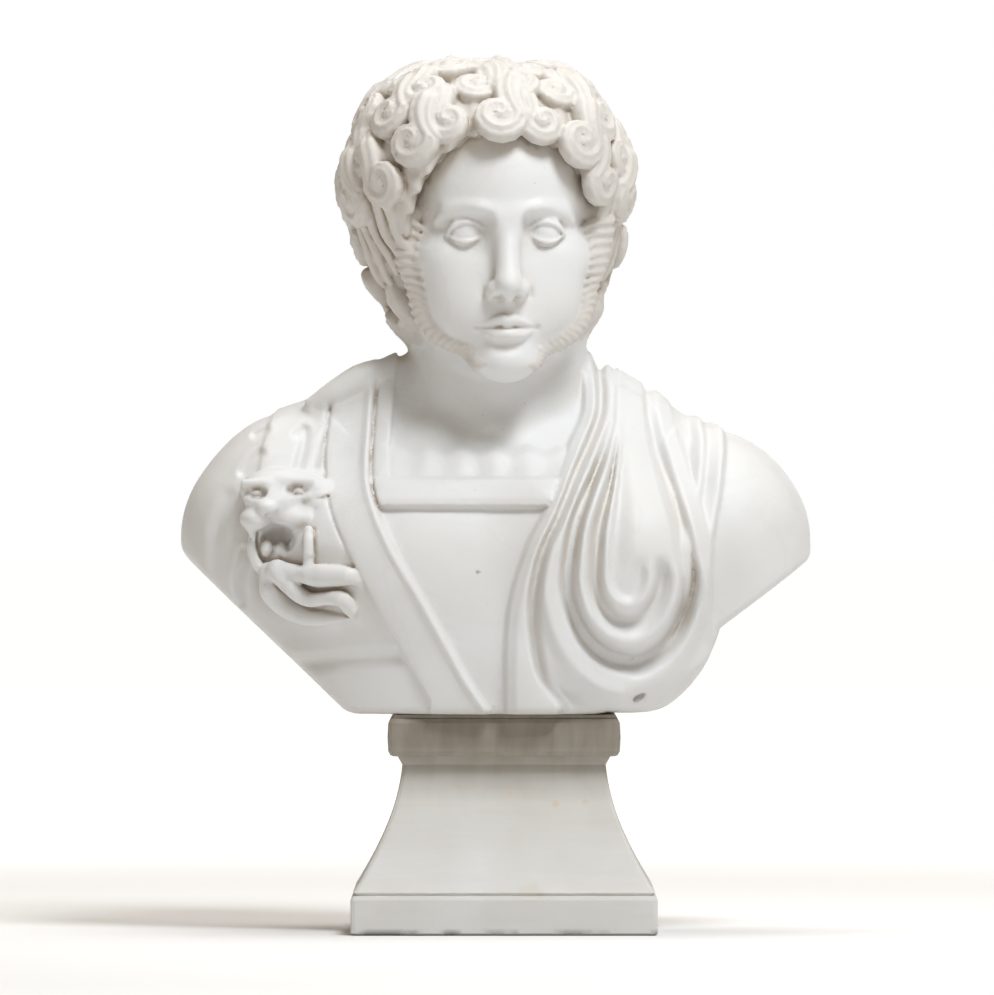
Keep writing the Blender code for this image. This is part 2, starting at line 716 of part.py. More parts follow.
def body_depth(points):
    depth = torso(points).depth - relief(points)
    depth = meet(depth, cuts(points), 6.0)
    return meet(depth, -points[:, 2], 6.0)


# The lion mask and the cloth in its jaws: the mask's place, and the depths tried for the chest
LION_AT = np.array([-178.0, 0.0, 165.0])
DEPTHS = np.linspace(-160.0, 0.0, 161)


@functools.cache
def chest_depth(x, z):
    """Where the chest's surface is at a place seen from the front."""
    line = np.stack([np.full_like(DEPTHS, x), DEPTHS, np.full_like(DEPTHS, z)], 1)
    inside = body_depth(line)
    first = int(np.argmax(inside < 0))
    return float(DEPTHS[first] - inside[first] / (inside[first - 1] - inside[first] + TINY))


def lion(clay):
    back = chest_depth(LION_AT[0], LION_AT[2])

    def at(a, forward, c):
        """From the lion's own place: a to the right, forward out of the chest, c up."""
        return (LION_AT[0] + a, back - forward, LION_AT[2] + c)

    clay.add(ball(at(2, -2, 14), (34, 19, 17)), 5)
    clay.add(ball(at(30, -3, 4), (14, 15, 17)), 6)
    for c in (12, 5, -2):
        clay.carve(limb(at(27, 13, c), at(40, 9, c + 3), 0.8, 1.2), 1.5)
    clay.add(ball(at(-6, 8, 3), (22, 15, 13)), 6)
    clay.add(ball(at(-19, 10, -10), (13, 14, 9.5)), 4)
    clay.add(ball(at(11, 9, -9.5), (17, 14, 10)), 4)
    clay.add(ball(at(-10, 20, -1), (9, 8, 6)), 3)
    for a, c in ((-19, 11), (14, 13)):
        clay.add(limb(at(a - 9, 12, c + 7), at(a + 9, 13, c + 7), 3.6, 3.6), 4)
        clay.add(limb(at(a - 8, 11, c - 5), at(a + 8, 12, c - 5), 2.2, 2.2), 3)
        clay.carve(ball(at(a, 19, c), (9.5, 11, 5.6)), 1.5)
        clay.add(ball(at(a + 1, 8, c - 0.5), (6, 6, 4.2)), 0.6)
    clay.carve(limb(at(-10, 22, -5), at(-8, 24, -18), 1.2, 1.5), 2)
    clay.carve(ball(at(-3, 14, -27), (15, 24, 12.5)), 3)
    for a, c, w in ((-11, -34, 5.6), (0, -36, 6.2), (12, -33, 5.6)):
        clay.add(ball(at(a, 1, c), (w, 8, 7.5)), 0.8)
    clay.add(limb(at(16, 13, -18), at(14, 9, -27), 4.5, 1), 2)
    clay.add(limb(at(-23, 12, -18), at(-20, 8, -27), 4, 1.2), 2)

    def cloth(route, radii, lift, blend=1.2, flat=0.8):
        """A roll of cloth on the chest, lifted out of it by the share of its own thickness given."""
        count = 3 * len(route)
        path = curve([(x, 0, z) for x, z in route], count)
        radii = np.interp(np.linspace(0, 1, count), np.linspace(0, 1, len(radii)), radii)
        path[:, 1] = [chest_depth(round(x, 1), round(z, 1)) for x, _, z in path]
        path[:, 1] -= np.interp(np.linspace(0, 1, count), np.linspace(0, 1, len(lift)), lift)
        up = np.tile((0.0, -1.0, 0.0), (count, 1))
        clay.add(strand(path, radii, up, flat=flat), blend)

    cloth(((-201, 142), (-200, 128), (-195, 117), (-186, 111)), (3, 4, 4.5, 5), (6, 6, 6, 6))
    cloth(((-155, 146), (-155, 132), (-155, 116)), (4, 4.3, 4.5), (7, 7, 7))
    cloth(
        ((-186, 112), (-184, 97), (-173, 85), (-158, 78), (-142, 76), (-122, 76)),
        (9, 10, 9, 8, 6, 2),
        (8, 9, 9, 8, 5, 1),
    )
    cloth(
        ((-180, 114), (-166, 98), (-155, 91), (-142, 92), (-129, 92), (-122, 84), (-119, 77)),
        (9, 7, 6, 5.5, 6.5, 6, 2.5),
        (13, 14, 12, 10, 8, 5, 2),
    )
    cloth(
        ((-176, 113), (-160, 111), (-147, 110), (-132, 110), (-120, 109), (-113, 102)),
        (8, 7, 9.5, 9, 6.5, 2),
        (12, 8, 7, 6, 4, 1),
    )


def shoulder_roll(clay):
    """The roll of cloth over the shoulder beside the neck."""
    places = [(-66, 84, 222), (-70, 58, 248), (-80, 26, 267), (-94, -2, 271)]
    places += [(-114, -18, 268), (-135, -21, 257), (-154, -20, 247)]
    path = curve(places, 20)
    clay.add(strand(path, np.interp(np.linspace(0, 6, 20), range(7), (5, 9, 12, 12, 11, 9, 5))), 10)


# The heights up to which there is body and from which there is head, and the notch below the throat:
# its place, its half sizes and its depth.
BODY_TO = 330
HEAD_FROM = 232
NOTCH = (-9, 220)
NOTCH_SIZE = (9.0, 8.0)
NOTCH_DEPTH = 3.5


def bust(points):
    """The distance from each point to the marble."""
    depth = np.full(len(points), FAR)
    low = points[:, 2] < BODY_TO
    high = points[:, 2] > HEAD_FROM
    clay = Clay(points[low])
    clay.depth = body_depth(clay.points)
    shoulder_roll(clay)
    lion(clay)
    skin = Clay(clay.points)
    neck(skin)
    x, y, z = clay.points.T
    across, up = (x - NOTCH[0]) / NOTCH_SIZE[0], (z - NOTCH[1]) / NOTCH_SIZE[1]
    notch = NOTCH_DEPTH * np.exp(-(across**2) - up**2) * ease(0, -20, y)
    depth[low] = join(clay.depth, skin.depth, 10.0) + notch
    depth[high] = join(depth[high], head(points[high]), 7.0)
    return depth


def clear_scene():
    for old in list(bpy.data.objects):
        bpy.data.objects.remove(old)


def stone(name, colour, roughness):
    """A marble material."""
    material = bpy.data.materials.new(name)
    material.use_nodes = True
    shader = material.node_tree.nodes["Principled BSDF"]
    shader.inputs["Base Color"].default_value = (*colour, 1.0)
    shader.inputs["Roughness"].default_value = roughness
    shader.inputs["Metallic"].default_value = 0.0
    return material


def place(name, mesh, material, height):
    mesh.materials.append(material)
    piece = bpy.data.objects.new(name, mesh)
    piece.location = (0.0, 0.0, height)
    bpy.context.scene.collection.objects.link(piece)
    return piece


def bust_mesh():
    """The bust's surface as a mesh in metres, its underside at 0."""
    points, quads = largest(*surface(bust, BUST_LOW, BUST_HIGH, CARVING))
    points = points * (BUST_HEIGHT / FIGURE)
    mesh = bpy.data.meshes.new("bust")
    mesh.vertices.add(len(points))
    mesh.vertices.foreach_set("co", points.astype(np.float32).ravel())
    mesh.loops.add(4 * len(quads))
    mesh.loops.foreach_set("vertex_index", quads.astype(np.int32).ravel())
    mesh.polygons.add(len(quads))
    mesh.polygons.foreach_set("loop_start", np.arange(0, 4 * len(quads), 4, dtype=np.int32))
    mesh.update(calc_edges=True)
    mesh.shade_smooth()
    return mesh


def socle_profile():
    """The socle's outline from its underside up, as (half width, height) stops."""
    base, top, foot, waist = (width / 2 for width in (BASE_WIDTH, TOP_WIDTH, FOOT_WIDTH, WAIST_WIDTH))
    shaft_low = BASE_HEIGHT + GROOVE
    shaft_high = shaft_low + SHAFT_HEIGHT
    slab_top = shaft_high + TOP_HEIGHT
    stops = [(base - EDGE / 2, 0.0), (base, EDGE / 2), (base, BASE_HEIGHT - EDGE)]
    stops += [(base - 0.3 * EDGE, BASE_HEIGHT - 0.3 * EDGE), (base - EDGE, BASE_HEIGHT)]
    groove = foot - 0.8 * GROOVE
    stops += [(groove, BASE_HEIGHT + 0.2 * GROOVE), (groove, BASE_HEIGHT + 0.7 * GROOVE)]
    for step in range(17):
        share = step / 16
        half = waist + (foot - waist) * (1.0 - share) ** 1.7
        half += COVE * max(0.0, (share - 0.93) / 0.07) ** 2
        stops.append((half, shaft_low + SHAFT_HEIGHT * share))
    rounding = 1.1 * EDGE
    for step in range(7):
        turn = math.pi * (step / 6 - 0.5)
        bulge = rounding * math.cos(turn)
        rise = (TOP_HEIGHT / 2) * (1.0 + math.copysign(abs(math.sin(turn)) ** 0.45, math.sin(turn)))
        stops.append((top - rounding + bulge, shaft_high + rise))
    seat = SEAT_WIDTH / 2
    stops += [(seat, slab_top), (seat, BUST_BASE - GAP - 0.0006), (seat - 0.0006, BUST_BASE - GAP)]
    return stops


def socle_mesh():
    """Square rings with softened corners, one above the other, closed at both ends."""
    form = bmesh.new()
    rings = []
    for half, height in socle_profile():
        ring = []
        for quarter in range(4):
            for step in range(CORNER_STEPS + 1):
                turn = math.pi / 2 * (quarter + step / CORNER_STEPS)
                corner = math.pi / 2 * quarter + math.pi / 4
                middle = (half - CORNER) * math.sqrt(2.0)
                x = middle * math.cos(corner) + CORNER * math.cos(turn)
                y = middle * math.sin(corner) + CORNER * math.sin(turn)
                ring.append(form.verts.new((x, y, height)))
        rings.append(ring)
    for low, high in zip(rings, rings[1:]):
        for k in range(len(low)):
            after = (k + 1) % len(low)
            form.faces.new((low[k], low[after], high[after], high[k]))
    form.faces.new(tuple(reversed(rings[0])))
    form.faces.new(tuple(rings[-1]))
    mesh = bpy.data.meshes.new("socle")
    form.to_mesh(mesh)
    form.free()
    mesh.shade_smooth()
    mesh.set_sharp_from_angle(angle=math.radians(35))
    return mesh


clear_scene()
bust_piece = place("bust", bust_mesh(), stone("bust marble", (0.80, 0.78, 0.74), 0.55), BUST_BASE)
fewer = bust_piece.modifiers.new("fewer faces", "DECIMATE")
fewer.ratio = BUST_FACES / sum(len(face.vertices) - 2 for face in bust_piece.data.polygons)
place("socle", socle_mesh(), stone("socle marble", (0.76, 0.74, 0.70), 0.6), 0.0)
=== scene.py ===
"""The looks of a carved marble portrait bust on its square socle.

The bust's fine surface is worked out here, as in the solids, from each place's distance to the stone.
"""
import collections
import functools
import json
import math

import bpy
import numpy as np
import openvdb
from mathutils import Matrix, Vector

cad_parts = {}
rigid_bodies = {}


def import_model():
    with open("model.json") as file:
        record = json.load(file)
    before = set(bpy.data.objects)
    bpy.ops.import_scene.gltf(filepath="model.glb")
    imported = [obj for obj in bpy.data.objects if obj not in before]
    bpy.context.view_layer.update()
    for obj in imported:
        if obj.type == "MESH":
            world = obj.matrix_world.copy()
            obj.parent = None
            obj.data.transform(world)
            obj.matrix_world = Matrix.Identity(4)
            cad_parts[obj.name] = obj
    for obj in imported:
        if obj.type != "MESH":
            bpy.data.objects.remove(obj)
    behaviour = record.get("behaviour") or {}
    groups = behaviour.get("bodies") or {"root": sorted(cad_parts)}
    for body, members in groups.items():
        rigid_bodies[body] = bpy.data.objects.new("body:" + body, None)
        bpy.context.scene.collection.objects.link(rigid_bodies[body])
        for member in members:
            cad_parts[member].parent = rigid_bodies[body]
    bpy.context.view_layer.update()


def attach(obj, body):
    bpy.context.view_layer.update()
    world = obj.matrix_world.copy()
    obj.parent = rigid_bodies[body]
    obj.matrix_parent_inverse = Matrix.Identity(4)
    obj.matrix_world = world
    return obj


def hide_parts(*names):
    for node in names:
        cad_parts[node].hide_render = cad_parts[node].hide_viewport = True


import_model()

# The bust's height in metres and in its own units, the height of its underside, the box that it is
# sampled in, the fineness of its surface in its own units, and the most triangles it may have.
BUST_HEIGHT = 0.5255
FIGURE = 525.5
UNIT = BUST_HEIGHT / FIGURE
BUST_BASE = 0.1745
BUST_LOW = (-272.0, -168.0, -8.0)
BUST_HIGH = (264.0, 138.0, 548.0)
CARVING = 1.6
BUST_TRIANGLES = 194000

# A distance beyond anything modelled, and a number that keeps a division by a length from failing.
FAR = 1000.0
TINY = 1e-9

# A form: the middle and the radius of a ball around it, and the function for the distance to it.
Shape = collections.namedtuple("Shape", "middle reach distance")


def ease(low, high, value):
    """0 below low, 1 above high, and a smooth rise between them."""
    share = np.clip((value - low) / (high - low), 0.0, 1.0)
    return share * share * (3.0 - 2.0 * share)


def join(a, b, blend):
    """The union of two forms, with a fillet about as wide as blend."""
    if blend <= 0.0:
        return np.minimum(a, b)
    share = np.clip(0.5 + 0.5 * (b - a) / blend, 0.0, 1.0)
    return b + (a - b) * share - blend * share * (1.0 - share)


def meet(a, b, blend):
    """What two forms have in common, with its new edges rounded."""
    return -join(-a, -b, blend)


def profile(value, stops):
    """A height for each value, from (value, height) stops, level at each stop."""
    at, heights = np.array(stops, float).T
    index = np.clip(np.searchsorted(at, value) - 1, 0, len(at) - 2)
    share = ease(at[index], at[index + 1], value)
    return heights[index] + (heights[index + 1] - heights[index]) * share


def curve(points, count):
    """count points along a smooth curve through the given ones."""
    points = np.array(points, float)
    ends = np.vstack([2 * points[0] - points[1], points, 2 * points[-1] - points[-2]])
    places = np.linspace(0.0, len(points) - 1.0, count)
    index = np.minimum(places.astype(int), len(points) - 2)
    t = (places - index)[:, None]
    a, b, c, d = (ends[index + k] for k in range(4))
    square = 2 * a - 5 * b + 4 * c - d
    cube = 3 * b - a - 3 * c + d
    return 0.5 * (2 * b + (c - a) * t + square * t**2 + cube * t**3)


def ball(centre, radii):
    """An ellipsoid with its axes along the frame's."""
    centre, radii = np.array(centre, float), np.array(radii, float)

    def distance(p):
        scaled = (p - centre) / radii
        k0 = np.sqrt((scaled**2).sum(1))
        k1 = np.sqrt(((scaled / radii) ** 2).sum(1)) + TINY
        return k0 * (k0 - 1.0) / k1

    return Shape(centre, radii.max(), distance)


def limb(start, end, start_radius, end_radius):
    """A round bar that tapers from one radius to another, with round ends."""
    start, end = np.array(start, float), np.array(end, float)
    along = end - start
    length_squared = along @ along

    def distance(p):
        share = np.clip((p - start) @ along / length_squared, 0.0, 1.0)
        off = p - start - share[:, None] * along
        return np.sqrt((off**2).sum(1)) - (start_radius + (end_radius - start_radius) * share)

    reach = math.sqrt(length_squared) / 2 + max(start_radius, end_radius)
    return Shape((start + end) / 2, reach, distance)


def strand(path, radii, up=None, strands=0, depth=0.0, flat=1.0):
    """A round bar along a path. With strands, grooves that deep run along it, side by side across
    the direction up gives at each path point. flat below 1 makes it that much thinner along up."""
    path, radii = np.array(path, float), np.array(radii, float)
    along = path[1:] - path[:-1]
    squared = (along**2).sum(1) + TINY

    def distance(p):
        to = p[:, None, :] - path[None, :-1]
        share = np.clip((to * along).sum(2) / squared, 0.0, 1.0)
        off = to - share[:, :, None] * along
        radius = radii[:-1] + (radii[1:] - radii[:-1]) * share
        if up is not None and flat != 1.0:
            rise = (off * up[:-1]).sum(2)[:, :, None] * up[:-1]
            off = off + rise * (1.0 / flat - 1.0)
        gap = np.sqrt((off**2).sum(2)) - radius
        best = gap.argmin(1)
        row = np.arange(len(p))
        found = gap[row, best]
        if strands:
            side = np.cross(along[best], up[best])
            side /= np.sqrt((side**2).sum(1))[:, None] + TINY
            across = (off[row, best] * side).sum(1) / radius[row, best]
            found = found + depth * (0.5 - 0.5 * np.cos(across * math.pi * strands))
        return found

    middle = (path.min(0) + path.max(0)) / 2
    reach = np.sqrt(((path - middle) ** 2).sum(1)).max() + radii.max()
    return Shape(middle, reach, distance)


class Clay:
    """The form modelled so far: each point's distance to it, below 0 inside."""

    def __init__(self, points):
        self.points = points
        self.depth = np.full(len(points), FAR)

    def near(self, shape, margin):
        off = self.points - shape.middle
        return np.nonzero((off**2).sum(1) < (shape.reach + margin) ** 2)[0]

    def add(self, shape, blend=3.0, margin=26.0):
        near = self.near(shape, margin)
        if len(near):
            self.depth[near] = join(self.depth[near], shape.distance(self.points[near]), blend)

    def carve(self, shape, blend=2.0, margin=12.0):
        near = self.near(shape, margin)
        if len(near):
            self.depth[near] = meet(self.depth[near], -shape.distance(self.points[near]), blend)


# Voxels along a block. How near the surface has to be for a block to be worked out finely: a share
# of the block and a slack in units, and then, for the small blocks of two voxels, a number of voxels.
BLOCK = 8
BLOCK_SHARE = 0.89
SLACK = 7.0
SMALL_REACH = 4.8


def sampled(field, low, high, voxel):
    """field on a regular grid between two corners, worked out finely only near its surface."""
    counts = np.ceil((high - low) / (voxel * BLOCK)).astype(int)
    grid = np.zeros(tuple(counts * BLOCK), np.float32)

    def centres(index, size):
        return low + (index * size + (size - 1) / 2.0) * voxel

    def sub(index, factor):
        offsets = np.stack(np.meshgrid(*[np.arange(factor)] * 3, indexing="ij"), -1).reshape(-1, 3)
        return (index[:, None, :] * factor + offsets[None]).reshape(-1, 3)

    coarse = sub(np.zeros((1, 3), int), int(counts.max()))
    coarse = coarse[(coarse < counts).all(1)]
    value = field(centres(coarse, BLOCK))
    dense = np.zeros(tuple(counts), np.float32)
    dense[tuple(coarse.T)] = value
    grid[:] = dense.repeat(BLOCK, 0).repeat(BLOCK, 1).repeat(BLOCK, 2)
    kept = coarse[np.abs(value) < BLOCK_SHARE * BLOCK * voxel + SLACK]

    middle = sub(kept, BLOCK // 2)
    value = field(centres(middle, 2))
    fine = sub(middle, 2)
    grid[tuple(fine.T)] = value.repeat(8)
    kept = middle[np.abs(value) < SMALL_REACH * voxel]

    fine = sub(kept, 2)
    grid[tuple(fine.T)] = field(low + fine * voxel)
    return grid


def surface(field, low, high, voxel):
    """(points, quads) of the field's zero level."""
    low, high = np.array(low, float), np.array(high, float)
    grid = openvdb.FloatGrid(background=FAR)
    grid.copyFromArray(sampled(field, low, high, voxel))
    points, quads = grid.convertToQuads(isovalue=0.0)
    return points * voxel + low, quads


def largest(points, quads):
    """The biggest connected surface alone, without crumbs or bubbles."""
    label = np.arange(len(points))
    while True:
        lower = label.copy()
        np.minimum.at(lower, quads.ravel(), label[quads].min(1).repeat(4))
        lower = lower[lower]
        if (lower == label).all():
            break
        label = lower
    kept = label == np.bincount(label).argmax()
    number = np.cumsum(kept) - 1
    return points[kept], number[quads[kept[quads[:, 0]]]]


# The head's middle, its turn, and the two sides of everything that comes twice.
HEAD_AT = np.array([-5.0, -22.0, 383.0])
HEAD_TURN = math.radians(5.0)
SIDES = (-1, 1)


def to_head(points):
    """Points in the head's own frame: u to the viewer's right, v back, w up."""
    c, s = math.cos(HEAD_TURN), math.sin(HEAD_TURN)
    x, y, z = (points - HEAD_AT).T
    return np.stack([c * x + s * y, -s * x + c * y, z], 1)


# Skull and face
def head_mass(clay):
    clay.add(ball((0, 6, 38), (74, 93, 84)))
    clay.add(ball((0, -28, 30), (67, 61, 58)), 12)
    clay.add(ball((0, -24, -42), (61, 60, 74)), 14)
    clay.add(ball((0, -22, 4), (76, 34, 46)), 12)
    for s in SIDES:
        clay.add(ball((s * 43, -45, -20), (27, 30, 22)), 16)
        clay.add(ball((s * 30, -50, -52), (30, 30, 38)), 18)
        clay.add(ball((s * 40, -8, -66), (22, 38, 32)), 18)
        clay.add(limb((s * 9, -83, 13), (s * 44, -70, 17), 8, 6), 9)
        brow = curve([(s * 9, -86, 12), (s * 23, -86.5, 19), (s * 40, -77, 18.5), (s * 53, -62, 9)], 14)
        clay.add(strand(brow, np.linspace(4.6, 2.6, 14)), 6)
    clay.add(ball((0, -67, -101), (26, 23, 19)), 12)
    clay.add(ball((0, -60, -70), (31, 27, 28)), 14)


def eyes(clay):
    t = np.linspace(-1, 1, 15)
    share = np.abs(t)
    for s in SIDES:
        centre = np.array([s * 31.5, -67.5, -1.0])
        clay.carve(ball((s * 31, -96, 1), (21, 18, 12.5)), 8)
        clay.carve(ball((s * 18, -90, 3), (8, 12, 9)), 7)

        def lid(rise, slant, radius):
            """A line over the eyeball from its inner corner to the outer one, that far from its middle."""
            x, z = 15.0 * t, rise * (1 - share**2.3) + slant * t
            y = -np.sqrt(np.maximum(radius**2 - 0.90 * x**2 - z**2, 9.0))
            return centre + np.stack([s * x, y, z], 1)

        clay.add(strand(lid(10.6, -1.0, 14.4), 3.4 - 1.6 * share), 2.0)
        clay.add(strand(lid(8.4, -1.0, 15.8), 2.2 - 1.1 * share), 0.8)
        clay.add(strand(lid(-7.4, -1.2, 14.8), 2.1 - 1.1 * share), 2.0)
        clay.add(ball(centre, (13.9, 13.9, 13.9)), 0.3, 10)


def nose(clay):
    clay.add(limb((0, -79, 14), (0, -96, -36), 8.5, 9.5), 12)
    clay.add(ball((0, -99, -43), (10, 11, 9.0)), 7)
    for s in SIDES:
        clay.add(ball((s * 11, -89, -46.5), (6.4, 11, 7.0)), 4)
    clay.add(limb((0, -100, -52), (0, -86, -57), 3.6, 4.5), 4)
    for s in SIDES:
        clay.carve(ball((s * 7, -95.5, -54.5), (3.5, 6.5, 3.4)), 1.6)
        crease = curve([(s * 15.5, -90, -37), (s * 19.5, -86, -43), (s * 19.5, -84, -51)], 9)
        clay.carve(strand(crease, np.full(9, 1.0)), 2.5)


def mouth(clay):
    clay.carve(limb((0, -94, -59), (0, -93, -67), 2.2, 3.2), 2.5)
    share = np.linspace(-1, 1, 25)

    def both(*half):
        """A line through the places given from the middle to the left corner, and back out to the right."""
        return curve([*reversed(half), *((-u, v, w) for u, v, w in half if u)], 25)

    upper = both((0, -90.5, -71.8), (-5, -90.5, -70.5), (-14, -86, -73), (-24, -79, -76))
    lower = both((0, -88.5, -82.5), (-12, -85, -81), (-21, -79, -77))
    clay.add(strand(upper, 1.0 + 3.9 * (1 - share**2)), 1.8)
    clay.add(strand(lower, 1.0 + 5.0 * (1 - share**2)), 2.2)
    line = both((0, -93.8, -76.9), (-5, -93.6, -76.1), (-14, -89.2, -76.4), (-25.5, -80, -76.7))
    clay.carve(strand(line, np.full(25, 1.6)), 1.8)
    clay.carve(ball((0, -95, -92), (15, 8, 5)), 6)


# Hair. The middle and the half sizes of its cap, the way to the crown, a curl's size, the step from
# curl to curl, and the lowest row's height, first turn and radius.
CAP_AT = np.array([-8.0, 9.0, 42.0])
CAP = np.array([108.5, 107.0, 85.0])
CROWN = np.array([0.0, 0.45, 0.89])
CURL = 22.0
SPACING = 37.0
NAPE = (-74.0, 60.0, 66.0)

# Each row of curls: its angle from straight ahead at the top and at the sides of the head, and how
# far round it goes.
ROWS = (
    (27, 57, 104),
    (50, 78, 124),
    (73, 96, 138),
    (95, 114, 152),
    (117, 131, 166),
    (139, 149, 176),
    (161, 166, 150),
)


def in_face(u, w):
    """Below 0 inside the arch of the face that the hair leaves free."""
    arch = np.sqrt((u / 74.0) ** 2 + (np.maximum(w, 0) / 80.0) ** 2)
    return (arch - 1.0) * 75.0


def hair_mass(points, cut=True):
    clay = Clay(points)
    clay.add(ball(CAP_AT, CAP), 3, 90)
    for s in SIDES:
        clay.add(ball(CAP_AT + (s * 34, 2, 29), (60, 86, 54)), 14, 90)
    clay.add(ball((-6, 14, -10), (99, 74, 62)), 20, 90)
    clay.add(ball((-3, 24, -54), (74, 62, 44)), 18, 90)
    if cut:
        u, v, w = points.T
        face = np.maximum(in_face(u, w), v + 34.0)
        clay.depth = meet(clay.depth, -face, 7.0)
        behind_jaw = np.maximum(w + 30.0, v + 14.0 + 0.5 * (w + 40))
        clay.depth = meet(clay.depth, -behind_jaw, 6.0)
        right = np.cross(CROWN, (1.0, 0.0, 0.0))
        turn = np.arctan2(points[:, 0], (points - CAP_AT) @ right)
        wave = turn * 36 + 1.2 * np.sin(w / 11.0)
        clay.depth = clay.depth + 0.8 + 1.3 * np.cos(wave)
    return clay


def on_hair(directions, lift=0.0):
    """Where rays from the middle of the cap leave the hair's mass, and the way out there."""
    directions = directions / np.sqrt((directions**2).sum(1))[:, None]
    reach = np.full(len(directions), 125.0)
    for _ in range(18):
        reach -= np.clip(0.9 * hair_mass(CAP_AT + reach[:, None] * directions, False).depth, -12, 12)
    at = CAP_AT + reach[:, None] * directions
    step = 4.0
    sides = [(at + step * axis, at - step * axis) for axis in np.eye(3)]
    out = np.stack([hair_mass(a, False).depth - hair_mass(b, False).depth for a, b in sides], 1)
    out /= np.sqrt((out**2).sum(1))[:, None]
    return at + lift * out, out


def row_directions(row):
    """Directions of a row's curls, evenly spaced along it, staggered from row to row."""
    top, side, reach = ROWS[row]
    turns = np.radians(np.linspace(-reach, reach, 241))
    ring = np.radians(top + (side - top) * np.sin(turns / 2) ** 2 * 1.6)
    ways = np.stack([np.sin(ring) * np.sin(turns), -np.cos(ring), np.sin(ring) * np.cos(turns)], 1)
    at = CAP_AT + 108 * ways
    length = np.concatenate([[0], np.cumsum(np.sqrt(((at[1:] - at[:-1]) ** 2).sum(1)))])
    middle = length[-1] / 2
    half = int(middle // SPACING)
    numbers = np.arange(-half, half) + 0.5 if row % 2 else np.arange(-half, half + 1)
    places = middle + SPACING * numbers
    return np.stack([np.interp(places, length, ways[:, k]) for k in range(3)], 1)


def nape_directions():
    """Directions of the lowest row, level round the back of the neck from ear to ear."""
    height, first, radius = NAPE
    turns = np.radians(np.linspace(first, 360 - first, 11))
    level = np.full(11, height - CAP_AT[2])
    return np.stack([radius * np.sin(turns), 30 - radius * np.cos(turns), level], 1)


def lock_path(middle, out, hand, size, tail, turns=1.2):
    """A lock's route, flat on the tangent plane at its curl: down from the crown, then a snail curl."""
    flow = (middle - CAP_AT) / 100.0 - CROWN
    flow = flow - (flow @ out) * out
    flow /= np.linalg.norm(flow)
    side = np.cross(out, flow) * hand
    rim = size * 0.60
    places = []
    for s in np.linspace(-tail * size, 0.0, 8)[:-1]:
        places.append((s, rim + 0.30 * rim * math.sin(s / size * 1.9)))
    for share in np.linspace(0, 1, 17):
        angle = share * turns * 2 * math.pi
        radius = rim * (1 - share) ** 0.75 + 1.0
        places.append((radius * math.sin(angle), radius * math.cos(angle)))
    s, t = np.array(places).T
    return middle + s[:, None] * flow + t[:, None] * side


@functools.cache
def curls():
    """Every curl of the head's hair."""
    routes, sizes = [], []
    for row in range(len(ROWS) + 1):
        ways = row_directions(row) if row < len(ROWS) else nape_directions()
        middles, outs = on_hair(ways)
        for k, (middle, out) in enumerate(zip(middles, outs)):
            size = CURL * (1.0 + 0.10 * math.sin(2.7 * k + 1.3 * row))
            hand = 1 if (k + row) % 2 else -1
            wobble = np.cross(out, [0.3, 0.5, 0.8]) * 3.0 * math.sin(4.1 * k + 2.2 * row)
            routes.append(lock_path(middle + wobble, out, hand, size, 1.7 if row else 1.9))
            sizes.append(size)
    flat = np.concatenate(routes)
    places, ups = on_hair(flat - CAP_AT)
    shapes, start = [], 0
    for route, size in zip(routes, sizes):
        count = len(route)
        path, up = places[start : start + count], ups[start : start + count]
        start += count
        share = np.linspace(0, 1, count)
        rise = 1.0 + 2.5 * (size > 0.98 * CURL) + 5.0 * ease(0.4, 0.9, share)
        path = path + up * rise[:, None]
        width = 0.64 - 0.20 * ease(0.0, 0.38, share) - 0.20 * ease(0.4, 1.0, share)
        width = width * (0.6 + 0.4 * ease(0.0, 0.10, share))
        shapes.append(strand(path, size * width, up, 3, size * 0.075, 0.85))
    return shapes


# How many places the beard has along the jaw and along each of its locks, and the jaw's edge on the
# viewer's left, as (across, up) places going down to the chin.
JAW_PLACES = 120
LOCK_PLACES = 7
JAW_LEFT = ((-83, 12), (-85, -8), (-84, -26), (-80, -44), (-73, -61))
JAW_LEFT += ((-63, -77), (-51, -91), (-37, -102), (-24, -109))


def settled(points, mass):
    """Points slid along the form's slope until they lie on its surface, and the way out there."""
    points = np.array(points, float)
    for _ in range(10):
        depth = mass(points)
        out = np.stack([mass(points + axis) - mass(points - axis) for axis in np.eye(3)], 1)
        out /= np.sqrt((out**2).sum(1))[:, None] + TINY
        points = points - 0.9 * depth[:, None] * out
    return points, out


def face_mass(points):
    clay = Clay(points)
    head_mass(clay)
    return clay.depth


